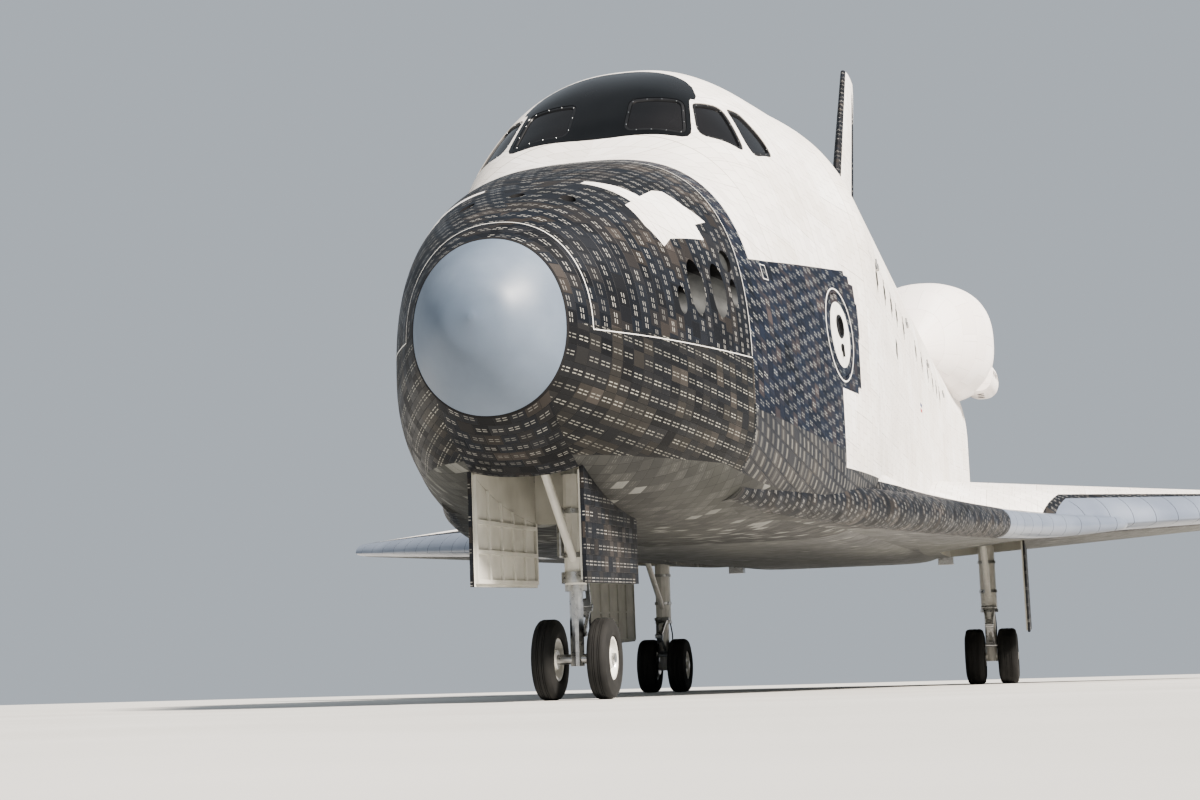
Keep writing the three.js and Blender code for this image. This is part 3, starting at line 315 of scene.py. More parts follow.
def rod(start, end, r0, r1=None, sides=32, zone=0):
    start, end = Vector(start), Vector(end)
    length = (end - start).length
    last = r0 if r1 is None else r1
    return turned([(0, 0), (0, r0), (length, last), (length, 0)], start, end - start, sides, zone=zone)


# Cuts, keeps or joins by another solid. Faces keep their zones and their places on the skin map.
def carve(target, tool, operation="DIFFERENCE", keepTool=False):
    modifier = target.modifiers.new("carve", "BOOLEAN")
    modifier.operation = operation
    modifier.solver = "MANIFOLD"
    modifier.object = tool
    graph = bpy.context.evaluated_depsgraph_get()
    made = bpy.data.meshes.new_from_object(target.evaluated_get(graph))
    target.modifiers.remove(modifier)
    spent = target.data
    target.data = made
    bpy.data.meshes.remove(spent)
    if not keepTool:
        bpy.data.objects.remove(tool)
    return target


def copied(obj, name="copy"):
    twin = obj.copy()
    twin.data = obj.data.copy()
    twin.name = name
    bpy.context.scene.collection.objects.link(twin)
    return twin


def mirrored(obj, name="copy"):
    twin = copied(obj, name)
    twin.data.transform(Matrix.Diagonal((-1, 1, 1, 1)))
    twin.data.flip_normals()
    return twin


# Several solids as the shells of one object
def joined(parts, name="joined"):
    bm = bmesh.new()
    for part in parts:
        bm.from_mesh(part.data)
        bpy.data.objects.remove(part)
    mesh = bpy.data.meshes.new(name)
    bm.to_mesh(mesh)
    bm.free()
    obj = bpy.data.objects.new(name, mesh)
    bpy.context.scene.collection.objects.link(obj)
    return obj


# The part of a solid inside a tool as a new object, and the rest left in the first
def split(obj, tool, name):
    inside = carve(copied(obj, name), tool, "INTERSECT", keepTool=True)
    carve(obj, tool)
    return inside


# Map each face flat along its nearest axis, for pieces that aren't lofted
def mapFlat(obj):
    mesh = obj.data
    layer = mesh.uv_layers.get("skin") or mesh.uv_layers.new(name="skin")
    for polygon in mesh.polygons:
        size = [abs(c) for c in polygon.normal]
        axes = [(1, 2), (0, 1), (0, 1)][size.index(max(size))] if size[1] < max(size) else (0, 2)
        for loop in polygon.loop_indices:
            co = mesh.vertices[mesh.loops[loop].vertex_index].co
            layer.data[loop].uv = (co[axes[0]], co[axes[1]])
    return obj


# A finished piece: its place, its smooth shading, its materials by zone and the body that it rides on
def settle(obj, name, body, materials, stands=(), place=airframePlace, sharp=30):
    obj.name = obj.data.name = name
    mesh = obj.data
    mesh.materials.clear()
    for material in materials:
        mesh.materials.append(material)
    if "zone" in mesh.attributes and len(materials) > 1:
        tags = np.zeros(len(mesh.polygons), np.int32)
        mesh.attributes["zone"].data.foreach_get("value", tags)
        mesh.polygons.foreach_set("material_index", np.clip(tags, 0, len(materials) - 1))
    else:
        mesh.polygons.foreach_set("material_index", np.zeros(len(mesh.polygons), np.int32))
    mesh.transform(place)
    mesh.shade_smooth()
    mesh.set_sharp_from_angle(angle=math.radians(sharp))
    mesh.update()
    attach(obj, body)
    if stands:
        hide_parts(*stands)
    return obj


# A port piece and its starboard twin. Names that end in _left have twins that end in _right.
def settleTwins(obj, name, body, materials, stands=(), place=airframePlace, sharp=30):
    twin = mirrored(obj)
    other = [node.replace("_left", "_right") for node in stands]
    settle(obj, name + "Left", body, materials, stands, place, sharp)
    settle(twin, name + "Right", body.replace("_left", "_right"), materials, other, place, sharp)


def hexLinear(code):
    channels = [int(code[k:k + 2], 16) / 255 for k in (1, 3, 5)]
    return [c / 12.92 if c <= 0.04045 else ((c + 0.055) / 1.055) ** 2.4 for c in channels] + [1]


# Adds one node. Keys are socket names or numbers, or the node's own settings; a node as a value is linked.
def addNode(tree, kind, settings):
    node = tree.nodes.new("ShaderNode" + kind)
    for key, value in settings.items():
        if key == "stops":
            elements = node.color_ramp.elements
            while len(elements) < len(value):
                elements.new(1)
            for element, (place, code) in zip(elements, value):
                element.position = place
                element.color = hexLinear(code)
            continue
        if isinstance(key, int):
            socket = node.inputs[key]
        else:
            socket = next((s for s in node.inputs if s.enabled and s.name == key), None)
        if socket is None:
            setattr(node, key, value)
            continue
        if isinstance(value, bpy.types.Node):
            value = next(s for s in value.outputs if s.enabled)
        if isinstance(value, bpy.types.NodeSocket):
            tree.links.new(value, socket)
        else:
            socket.default_value = hexLinear(value) if isinstance(value, str) else value
    return node


def newMaterial(name, **shaderValues):
    material = bpy.data.materials.new(name)
    material.use_nodes = True
    tree = material.node_tree
    shader = tree.nodes["Principled BSDF"]
    for key, value in shaderValues.items():
        shader.inputs[key.replace("_", " ")].default_value = value
    return material, tree, shader


def connectShader(tree, shader, colour, rough, bump):
    tree.links.new(colour, shader.inputs["Base Color"])
    tree.links.new(rough.outputs[0], shader.inputs["Roughness"])
    tree.links.new(bump.outputs[0], shader.inputs["Normal"])


# Tiles laid in staggered rows: a tone for each tile, dark gaps, pairs of short marks, stains, worn patches
def tileMaterial(name, look):
    material, tree, shader = newMaterial(name, IOR=look.get("ior", 1.5))
    skinMap = addNode(tree, "UVMap", {"uv_map": "skin"})
    laid = addNode(tree, "Mapping", {
        "Vector": skinMap,
        "Rotation": (0, 0, math.radians(look.get("turn", 0))),
        "Scale": (1 / look["size"], 1 / look["size"], 1),
    })
    apart = addNode(tree, "SeparateXYZ", {0: laid})
    row = addNode(tree, "Math", {"operation": "FLOOR", 0: apart.outputs[1]})
    odd = addNode(tree, "Math", {"operation": "PINGPONG", 0: row, 1: 1.0})
    shifted = addNode(tree, "Math", {
        "operation": "MULTIPLY_ADD", 0: odd, 1: look.get("stagger", 0.5), 2: apart.outputs[0]
    })
    column = addNode(tree, "Math", {"operation": "FLOOR", 0: shifted})
    inU = addNode(tree, "Math", {"operation": "FRACT", 0: shifted})
    inV = addNode(tree, "Math", {"operation": "FRACT", 0: apart.outputs[1]})
    cell = addNode(tree, "CombineXYZ", {0: column, 1: row})
    dice = addNode(tree, "SeparateColor", {0: addNode(tree, "TexWhiteNoise", {
        "noise_dimensions": "2D", "Vector": cell
    }).outputs["Color"]})

    # Neighbouring tiles come from one batch, so their tones drift together
    batch = addNode(tree, "TexNoise", {"Vector": cell, "Scale": look.get("batch", 0.18), "Detail": 2.0})
    tone = addNode(tree, "Math", {
        "operation": "MULTIPLY_ADD", 0: dice.outputs[0], 1: look.get("scatter", 0.5), 2: batch.outputs[0]
    })
    tone = addNode(tree, "MapRange", {"Value": tone, "From Min": 0.3, "From Max": 1.15})
    colour = addNode(tree, "ValToRGB", {"Fac": tone, "stops": look["tones"]})

    # Light tiles scattered singly where a spare was fitted
    if "spare" in look:
        spare = addNode(tree, "Math", {
            "operation": "GREATER_THAN", 0: dice.outputs[1], 1: 1 - look["spareShare"]
        })
        colour = addNode(tree, "Mix", {
            "data_type": "RGBA", "Factor": spare, "A": colour, "B": look["spare"]
        })

    # Broad weathering, drawn out along the airflow
    flow = addNode(tree, "Mapping", {"Vector": skinMap, "Scale": (0.9, 0.22, 1)})
    weather = addNode(tree, "TexNoise", {
        "Vector": flow, "Scale": look.get("weatherScale", 1.6), "Detail": 5.0
    })
    worn = addNode(tree, "MapRange", {
        "Value": weather.outputs[0], "From Min": 0.35, "From Max": 0.7,
        "To Min": 0.0, "To Max": look["weather"],
    })
    colour = addNode(tree, "Mix", {"data_type": "RGBA", "Factor": worn, "A": colour, "B": look["wornTone"]})

    # Two short dashes on each of two lines
    if "mark" in look:
        along, across = (inV, inU) if look.get("streamwise") else (inU, inV)
        dashSize = look.get("dash", (0.19, 0.14, 0.1, 0.038))
        acrossU = addNode(tree, "Math", {"operation": "SUBTRACT", 0: along, 1: 0.5})
        acrossU = addNode(tree, "Math", {"operation": "ABSOLUTE", 0: acrossU})
        acrossV = addNode(tree, "Math", {"operation": "SUBTRACT", 0: across, 1: 0.5})
        acrossV = addNode(tree, "Math", {"operation": "ABSOLUTE", 0: acrossV})
        dash = addNode(tree, "Math", {"operation": "COMPARE", 0: acrossU, 1: dashSize[0], 2: dashSize[1]})
        line = addNode(tree, "Math", {"operation": "COMPARE", 0: acrossV, 1: dashSize[2], 2: dashSize[3]})
        shown = addNode(tree, "Math", {
            "operation": "LESS_THAN", 0: dice.outputs[2], 1: look.get("markShare", 0.9)
        })
        mark = addNode(tree, "Math", {"operation": "MULTIPLY", 0: dash, 1: line})
        mark = addNode(tree, "Math", {"operation": "MULTIPLY", 0: mark, 1: shown})
        faint = addNode(tree, "Math", {
            "operation": "MULTIPLY_ADD", 0: dice.outputs[1], 1: 0.5, 2: look.get("markStrength", 0.35)
        })
        mark = addNode(tree, "Math", {"operation": "MULTIPLY", 0: mark, 1: faint})
        colour = addNode(tree, "Mix", {
            "data_type": "RGBA", "Factor": mark, "A": colour, "B": look["mark"]
        })

    # Gaps between tiles, as a share of a tile, and a softly rounded rim beside them
    edgeU = addNode(tree, "Math", {"operation": "PINGPONG", 0: inU, 1: 0.5})
    edgeV = addNode(tree, "Math", {"operation": "PINGPONG", 0: inV, 1: 0.5})
    edge = addNode(tree, "Math", {"operation": "MINIMUM", 0: edgeU, 1: edgeV})
    gap = addNode(tree, "MapRange", {
        "interpolation_type": "SMOOTHSTEP", "Value": edge,
        "From Min": look["gap"] * 0.5, "From Max": look["gap"],
        "To Min": look["gapStrength"], "To Max": 0.0,
    })
    colour = addNode(tree, "Mix", {"data_type": "RGBA", "Factor": gap, "A": colour, "B": look["gapTone"]})

    # Seams of the larger sheets that the tiles or quilts were laid in
    if "sheet" in look:
        sheets = addNode(tree, "TexBrick", {
            "Vector": skinMap, "Scale": 1.0, "Brick Width": look["sheet"], "Row Height": look["sheet"],
            "Mortar Size": 0.004, "Mortar Smooth": 0.3, "Color1": "#ffffff", "Color2": "#f3f0ec",
            "Mortar": "#9b958d", "offset": 0.5,
        })
        colour = addNode(tree, "Mix", {
            "data_type": "RGBA", "blend_type": "MULTIPLY", "Factor": 0.75,
            "A": colour, "B": sheets.outputs[0],
        })

    # Each tile sits a little high or low and leans a little
    lean = addNode(tree, "Math", {"operation": "SUBTRACT", 0: dice.outputs[0], 1: 0.5})
    lean = addNode(tree, "Math", {"operation": "MULTIPLY", 0: lean, 1: inU})
    leanV = addNode(tree, "Math", {"operation": "SUBTRACT", 0: dice.outputs[1], 1: 0.5})
    lean = addNode(tree, "Math", {"operation": "MULTIPLY_ADD", 0: leanV, 1: inV, 2: lean})
    rim = addNode(tree, "MapRange", {
        "interpolation_type": "SMOOTHSTEP", "Value": edge, "From Max": look["gap"] * 1.6,
    })
    height = addNode(tree, "Math", {
        "operation": "MULTIPLY_ADD", 0: lean, 1: look.get("lean", 0.35), 2: rim
    })
    grain = addNode(tree, "TexNoise", {"Vector": skinMap, "Scale": look.get("grain", 60.0), "Detail": 3.0})
    height = addNode(tree, "Math", {
        "operation": "MULTIPLY_ADD", 0: grain.outputs[0], 1: look.get("grainDepth", 0.25), 2: height
    })
    bump = addNode(tree, "Bump", {
        "Strength": look.get("bump", 0.6), "Distance": look.get("depth", 0.003), "Height": height
    })

    rough = addNode(tree, "Math", {
        "operation": "MULTIPLY_ADD", 0: dice.outputs[2],
        1: look.get("roughScatter", 0.16), 2: look["roughness"],
    })
    rough = addNode(tree, "Math", {"operation": "MULTIPLY_ADD", 0: worn, 1: 0.2, 2: rough})
    connectShader(tree, shader, colour.outputs[2], rough, bump)
    return material


# Silica tile, 152 mm square, fired with a black glass coat: a dark body with a sheen, chalky where worn
blackTile = tileMaterial("blackGlassCoatedTile", {
    "size": 0.152, "gap": 0.02, "gapStrength": 0.75, "gapTone": "#0c0d10",
    "tones": [(0.0, "#06070a"), (0.3, "#0c0f15"), (0.55, "#151a22"), (0.78, "#272422"), (1.0, "#433e3b")],
    "mark": "#a3a29d", "markShare": 0.9, "markStrength": 0.27,
    "weather": 0.14, "wornTone": "#38383a", "roughness": 0.4, "ior": 1.34,
})
# The same tile below the module, its marks along the flow
blackChinTile = tileMaterial("blackChinTile", {
    "size": 0.152, "gap": 0.02, "gapStrength": 0.75, "gapTone": "#0b0c0e", "streamwise": True,
    "stagger": 0.0, "dash": (0.21, 0.155, 0.1, 0.036),
    "tones": [(0.0, "#07080b"), (0.3, "#0e1014"), (0.55, "#191b1f"), (0.78, "#2b2926"), (1.0, "#4a4541")],
    "mark": "#a09f97", "markShare": 0.95, "markStrength": 0.28, "batch": 0.28,
    "weather": 0.14, "wornTone": "#3a3937", "roughness": 0.42, "ior": 1.34,
})
# Tile along the chine, with one tall light stroke on each
chineTile = tileMaterial("chineTile", {
    "size": 0.152, "gap": 0.02, "gapStrength": 0.7, "gapTone": "#0b0c0e", "stagger": 0.0,
    "tones": [(0.0, "#1b1e25"), (0.5, "#2a2d33"), (1.0, "#43413f")],
    "mark": "#7d7c76", "markShare": 0.95, "markStrength": 0.2, "dash": (0.0, 0.36, 0.0, 0.16),
    "weather": 0.3, "wornTone": "#4b4a48", "roughness": 0.42, "ior": 1.34,
})
# The same tile laid so that its marks run in slanting lines, on the cabin's sides
blackSideTile = tileMaterial("blackSideTile", {
    "size": 0.152, "gap": 0.02, "gapStrength": 0.7, "gapTone": "#0c0d10", "stagger": 0.35, "batch": 0.3,
    "streamwise": True,
    "tones": [(0.0, "#070b13"), (0.35, "#0d1422"), (0.6, "#151e2e"), (0.82, "#2b282c"), (1.0, "#443d3d")],
    "mark": "#a3a5a0", "markShare": 0.95, "markStrength": 0.35,
    "weather": 0.08, "wornTone": "#3a3d44", "roughness": 0.42, "ior": 1.34,
})
# Belly tile, set corner to corner with the airflow, greyed by heat and weather
bellyTile = tileMaterial("heatGreyedBellyTile", {
    "size": 0.152, "turn": 45, "stagger": 0.0, "gap": 0.03, "gapStrength": 0.6, "gapTone": "#1a1a1a",
    "tones": [(0.0, "#363738"), (0.35, "#444546"), (0.7, "#545556"), (1.0, "#6a6b6b")],
    "spare": "#94958f", "spareShare": 0.015,
    "mark": "#6f706b", "markShare": 0.5, "markStrength": 0.15,
    "weather": 0.85, "wornTone": "#83847f", "weatherScale": 0.55, "roughness": 0.45,
})
# The same tile below the cabin: charcoal still, with lighter spare tiles scattered singly
charcoalBellyTile = tileMaterial("charcoalBellyTile", {
    "size": 0.152, "turn": 45, "stagger": 0.0, "gap": 0.03, "gapStrength": 0.6, "gapTone": "#111112",
    "tones": [(0.0, "#191a1b"), (0.35, "#232425"), (0.7, "#2f3030"), (1.0, "#41413f")],
    "spare": "#8b8c88", "spareShare": 0.09,
    "mark": "#6f706b", "markShare": 0.5, "markStrength": 0.12,
    "weather": 0.7, "wornTone": "#565752", "weatherScale": 0.8, "roughness": 0.45,
})
# White silica tile and felt, 203 mm across: matt, warm white, its joints only a shade darker
whiteTile = tileMaterial("whiteFeltAndTile", {
    "size": 0.203, "gap": 0.03, "gapStrength": 0.5, "gapTone": "#a49e95", "scatter": 0.6, "batch": 0.1,
    "tones": [(0.0, "#e2e0dd"), (0.4, "#eeecea"), (1.0, "#f8f7f6")],
    "weather": 0.45, "wornTone": "#d8d3cc", "roughness": 0.62, "roughScatter": 0.08, "sheet": 0.914,
    "bump": 0.35, "depth": 0.0015, "grain": 30.0, "lean": 0.15,
})
# Quilted white blanket on the pods: softer and pinker than the tiles
podBlanket = tileMaterial("quiltedWhiteBlanket", {
    "size": 0.76, "gap": 0.008, "gapStrength": 0.55, "gapTone": "#b0a59e", "scatter": 0.6, "batch": 0.2,
    "tones": [(0.0, "#ebe5e2"), (0.5, "#f2edea"), (1.0, "#f8f4f2")],
    "weather": 0.3, "wornTone": "#e3dbd6", "roughness": 0.7, "roughScatter": 0.05,
    "bump": 0.5, "depth": 0.004, "grain": 26.0, "grainDepth": 0.5, "lean": 0.05,
})


# A plain finish that varies a little: colour patches, a fine grain in the bump and a shift in the gloss
def plainMaterial(name, look):
    material, tree, shader = newMaterial(name, Metallic=look.get("metallic", 0.0), IOR=look.get("ior", 1.5))
    if "coat" in look:
        shader.inputs["Coat Weight"].default_value = look["coat"]
    place = addNode(tree, "TexCoord", {})
    spread = addNode(tree, "Mapping", {
        "Vector": place.outputs["Object"], "Scale": look.get("stretch", (1, 1, 1))
    })
    patches = addNode(tree, "TexNoise", {"Vector": spread, "Scale": look.get("patch", 2.0), "Detail": 5.0})
    level = addNode(tree, "MapRange", {"Value": patches.outputs[0], "From Min": 0.3, "From Max": 0.7})
    colour = addNode(tree, "ValToRGB", {"Fac": level, "stops": look["tones"]})
    grain = addNode(tree, "TexNoise", {"Vector": spread, "Scale": look.get("grain", 80.0), "Detail": 4.0})
    bump = addNode(tree, "Bump", {
        "Strength": look.get("bump", 0.25), "Distance": look.get("depth", 0.001), "Height": grain.outputs[0]
    })
    rough = addNode(tree, "MapRange", {
        "Value": patches.outputs[0], "From Min": 0.3, "From Max": 0.7,
        "To Min": look["roughness"] - 0.06, "To Max": look["roughness"] + 0.08,
    })
    connectShader(tree, shader, colour.outputs[0], rough, bump)
    return material


# Carbon on carbon under a light paint: smooth, blue-grey, half gloss
greyCarbon = plainMaterial("paintedCarbon", {
    "tones": [(0.0, "#687181"), (0.5, "#727b8a"), (1.0, "#7c8594")], "roughness": 0.33, "patch": 0.8,
    "grain": 40.0, "bump": 0.08, "coat": 0.25,
})
# Cap of the nose: the same carbon, colder in tint; its darker tone is partly painted shade for the cap's
# shaded side
capCarbonPaintedShade = plainMaterial("paintedCarbonCap", {
    "tones": [(0.0, "#606c7b"), (0.5, "#6a7685"), (1.0, "#74808f")], "roughness": 0.45, "patch": 1.4,
    "grain": 30.0, "bump": 0.06,
})
# Thick dark glass: near black, smooth, with a very slight waviness
paneGlass = plainMaterial("darkFusedSilica", {
    "tones": [(0.0, "#0e0e0f"), (1.0, "#181718")], "roughness": 0.2, "patch": 1.0, "grain": 4.0,
    "bump": 0.04, "ior": 1.4,
})
# Smooth black coat round the windshield: half gloss, so it takes broad soft reflections
surroundCoat = plainMaterial("smoothBlackCoat", {
    "tones": [(0.0, "#070809"), (1.0, "#121315")], "roughness": 0.22, "patch": 1.2, "grain": 12.0,
    "bump": 0.08, "ior": 1.36,
})
# Frames round the panes: dark enamelled metal, satin
paneFrame = plainMaterial("darkEnamelFrame", {
    "tones": [(0.0, "#101113"), (1.0, "#1c1d20")], "roughness": 0.45, "patch": 6.0, "ior": 1.4,
})
# Pins, screws, posts and links: machined steel, bright and brushed
steel = plainMaterial("turnedSteel", {
    "tones": [(0.0, "#9b9c9d"), (1.0, "#c2c4c5")], "roughness": 0.3, "patch": 14.0, "metallic": 1.0,
    "grain": 120.0,
})
# Gear legs: white enamel, hard and glossy, with oil haze
enamel = plainMaterial("whiteEnamel", {
    "tones": [(0.0, "#d2d1cb"), (1.0, "#e3e2dd")], "roughness": 0.36, "patch": 5.0, "grain": 40.0,
    "coat": 0.3,
})
# Bay and well lining: pale cloth over frames, dull
liner = plainMaterial("glassClothLiner", {
    "tones": [(0.0, "#bdbcb4"), (1.0, "#d0cfc8")], "roughness": 0.8, "patch": 3.0, "grain": 200.0,
    "bump": 0.5, "depth": 0.002,
})
# Radiators: silvered film on aluminium, like a soft mirror
radiator = plainMaterial("silveredFilm", {
    "tones": [(0.0, "#c4c8cc"), (1.0, "#dde0e2")], "roughness": 0.22, "patch": 1.5, "metallic": 0.9,
    "stretch": (1, 0.2, 1), "bump": 0.12,
})
# Tyre: black rubber, matt, dusty on its shoulders
rubber = plainMaterial("tyreRubber", {
    "tones": [(0.0, "#161616"), (1.0, "#262625")], "roughness": 0.82, "patch": 8.0, "grain": 160.0,
    "bump": 0.5,
})
# Dark openings: soot black, no gloss
sootBlack = plainMaterial("sootedRecess", {
    "tones": [(0.0, "#0b0b0c"), (1.0, "#17171a")], "roughness": 0.9, "patch": 4.0,
})
# Paint brushed on over the tiles, for plain lines, bars and the disc: clean and matt
whiteLine = plainMaterial("whiteMarkingPaint", {
    "tones": [(0.0, "#d6d6d2"), (1.0, "#ecebe7")], "roughness": 0.55, "patch": 7.0,
})
redLine = plainMaterial("redMarkingPaint", {
    "tones": [(0.0, "#a33338"), (1.0, "#b8474a")], "roughness": 0.55, "patch": 7.0,
})
blueLine = plainMaterial("blueMarkingPaint", {
    "tones": [(0.0, "#2b3b6b"), (1.0, "#3a4a7c")], "roughness": 0.55, "patch": 7.0,
})
# Thruster scoops: grey nickel alloy, blasted
scoopMetal = plainMaterial("blastedNickelScoop", {
    "tones": [(0.0, "#303233"), (1.0, "#4d4f4f")], "roughness": 0.55, "patch": 5.0, "metallic": 0.5,
})


# Nickel bell, brazed from tubes: fine ribs down its length, mottled with straw and blue heat tints.
# The real tubes are about 7 mm across, drawn at 12 mm so that they show.
def bellMaterial():
    material, tree, shader = newMaterial("brazedNickelTubes", Metallic=0.85)
    skinMap = addNode(tree, "UVMap", {"uv_map": "skin"})
    apart = addNode(tree, "SeparateXYZ", {0: skinMap})
    tube = 0.012
    ribs = addNode(tree, "Math", {"operation": "MULTIPLY", 0: apart.outputs[0], 1: 2 * math.pi / tube})
    ribs = addNode(tree, "Math", {"operation": "SINE", 0: ribs})
    heat = addNode(tree, "TexNoise", {"Vector": skinMap, "Scale": 1.2, "Detail": 4.0})
    tint = addNode(tree, "ValToRGB", {"Fac": heat.outputs[0], "stops": [
        (0.25, "#4a4542"), (0.45, "#6a625b"), (0.6, "#7b6f62"), (0.8, "#5d626c"),
    ]})
    bump = addNode(tree, "Bump", {"Strength": 0.4, "Distance": 0.002, "Height": ribs})
    rough = addNode(tree, "MapRange", {"Value": heat.outputs[0], "To Min": 0.3, "To Max": 0.55})
    connectShader(tree, shader, tint.outputs[0], rough, bump)
    return material


bellMetal = bellMaterial()
print("materials made")


# Directions at a point of the port side: out of the skin, aft along it and up along it
def skinFrame(aft, z):
    angle = angleAtHeight(aft, z)
    up = (bodyPoint(aft, angle + 0.02) - bodyPoint(aft, angle - 0.02)).normalized()
    ahead, behind = (bodyPoint(a, angleAtHeight(a, z)) for a in (aft - 0.05, aft + 0.05))
    back = (behind - ahead).normalized()
    out = back.cross(up).normalized()
    return bodyPoint(aft, angle), out, back, out.cross(back)


def roundedOutline(points, radius, steps=4):
    made = []
    for k, point in enumerate(points):
        here = Vector(point)
        before, after = Vector(points[k - 1]) - here, Vector(points[(k + 1) % len(points)]) - here
        half = before.angle(after) / 2
        reach = min(radius / math.tan(half), 0.45 * before.length, 0.45 * after.length)
        a, b = here + before.normalized() * reach, here + after.normalized() * reach
        for s in range(steps + 1):
            t = s / steps
            made.append(a * (1 - t) ** 2 + here * 2 * t * (1 - t) + b * t * t)
    return made


# A tool through the skin whose outline is given as (aft, angle), in steps small enough to follow the curve
def skinTool(outline, side=1, high=0.09, low=0.264):
    fine = []
    for here, after in zip(outline, outline[1:] + outline[:1]):
        reach = (bodyPoint(*after) - bodyPoint(*here)).length
        steps = max(1, math.ceil(reach / 0.08))
        fine += [(here[0] + (after[0] - here[0]) * k / steps, here[1] + (after[1] - here[1]) * k / steps)
                 for k in range(steps)]
    rings = []
    for inset in (-high, low):
        ring = [bodyPoint(aft, angle, inset) for aft, angle in fine + fine[:1]]
        rings.append([(side * p.x, p.y, p.z) for p in ring])
    return loft("tool", rings, np.zeros((2, len(rings[0]), 2)), fan=False)


# Distance of each point from the first, along a line of points
def runLengths(points):
    return np.concatenate([[0], np.cumsum([math.dist(a, b) for a, b in zip(points, points[1:])])])


# Outline of a pane from its corners as (aft, x), with round corners, drawn in by a margin
def paneOutline(corners, shrink=0.0, radius=None, steps=5):
    outline = roundedOutline(corners, radius or paneEdge["round"], steps)
    middle = sum(outline, Vector((0, 0))) / len(outline)
    made = []
    for point in outline:
        inward = middle - point
        aft, x = point + inward.normalized() * min(shrink, inward.length * 0.9)
        made.append((aft, angleAtSide(aft, x)))
    return made


# A thin sheet of the skin, from a height above it to a depth below it
def skinSheet(start, end, high, low, sides=144, step=0.08):
    sheet = skin("sheet", start, end, -high, sides, step)
    return carve(sheet, skin("tool", start - 0.01, end + 0.01, low, sides, step))


# A raised line along points of the skin, given as (aft, angle)
def ribbon(places, width=0.01, rise=0.0015, sunk=0.004):
    points = [bodyPoint(aft, angle) for aft, angle in places]
    rings = []
    for k, (aft, angle) in enumerate(places):
        along = bodyPoint(aft + 0.02, angle) - bodyPoint(aft - 0.02, angle)
        across = bodyPoint(aft, angle + 0.01) - bodyPoint(aft, angle - 0.01)
        out = along.cross(across).normalized()
        run = points[min(k + 1, len(points) - 1)] - points[max(k - 1, 0)]
        beside = run.cross(out).normalized() * width / 2
        near, away = points[k] + beside, points[k] - beside
        ring = [near + out * rise, away + out * rise, away + out * -sunk, near + out * -sunk]
        rings.append(ring + ring[:1])
    return loft("ribbon", rings, np.zeros((len(rings), 5, 2)))


# Nose: cap, thruster module and the black lower half
noseSeam = {"front": 0.512, "back": 0.534, "proud": 0.004, "deep": 0.03}
noseWell = {"halfWidth": 0.52, "front": 1.5, "back": 3.64, "top": 1.25}
noseFitting = {"halfWidth": 0.17, "front": 3.7, "back": 4.02, "drop": 0.045}

# The cap's carbon is darkened all over as painted shade
settle(skin("cap", 0, stations["capEnd"]), "noseCap", "airframe", [capCarbonPaintedShade], ["nose_cap"])
# Gap filler behind the cap
capSeam = skin("seam", noseSeam["front"], noseSeam["back"], -noseSeam["proud"], step=0.02)
carve(capSeam, skin("tool", 0.5, 0.55, noseSeam["deep"], step=0.02))
settle(capSeam, "noseCapSeal", "airframe", [sootBlack])

aboveDeck = box(-far, far, -far, 2 * far, stations["deck"] + 0.0003, far)

module = skin("module", stations["capEnd"], stations["moduleEnd"], step=0.1, sides=192)
carve(module, aboveDeck, "INTERSECT", keepTool=True)
sideThrusters = [
    # aft, height, half length, half height, depth
    (2.15, 2.1, 0.08, 0.14, 0.2),
    (2.48, 2.27, 0.16, 0.28, 0.42),
    (2.95, 2.3, 0.16, 0.28, 0.42),
    (3.31, 2.33, 0.08, 0.15, 0.2),
]
# The holes run in, up and forward, so the wall between two angles, below and behind, is a grey scoop
scoop = {"up": 0.75, "ahead": 0.45, "start": -2.3, "end": 0.4}
topThrusters = {"aft": 1.53, "x": (-0.5, 0.0, 0.5), "mouth": 0.085, "throat": 0.06}
nosePlug = {"aft": 3.27, "z": 2.66, "radius": 0.1195, "roomRadius": 0.12, "sunk": 0.036, "roomDeep": 0.045}
for aft, z, halfLength, halfHeight, depth in sideThrusters:
    at, out, back, up = skinFrame(aft, z)
    turns = np.linspace(0, 2 * math.pi, 41)[:-1]
    oval = [(halfLength * math.cos(t), halfHeight * math.sin(t)) for t in turns]
    slant = (up * scoop["up"] - back * scoop["ahead"] - out).normalized()
    tool = prism(oval, back, up, slant, -0.3, depth, at, zone=1)
    for k, t in enumerate(turns):
        folded = (t + math.pi) % (2 * math.pi) - math.pi
        if scoop["start"] < folded < scoop["end"]:
            tool.data.attributes["zone"].data[2 + k].value = 2
    carve(module, mirrored(tool))
    carve(module, tool)
for x in topThrusters["x"]:
    top = bodyPoint(topThrusters["aft"], angleAtSide(topThrusters["aft"], x))
    carve(module, rod(
        top + zAxis * 0.2, top - zAxis * 0.25, topThrusters["mouth"], topThrusters["throat"], 32, zone=1
    ))
plugAt, plugOut = skinFrame(nosePlug["aft"], nosePlug["z"])[:2]
plugRoom = rod(
    plugAt + plugOut * 0.1, plugAt - plugOut * nosePlug["roomDeep"], nosePlug["roomRadius"], sides=48, zone=1
)
carve(module, mirrored(plugRoom))
carve(module, plugRoom)
plug = rod(plugAt - plugOut * 0.09, plugAt - plugOut * nosePlug["sunk"], nosePlug["radius"], sides=48)
settleTwins(plug, "nosePlug", "airframe", [scoopMetal])

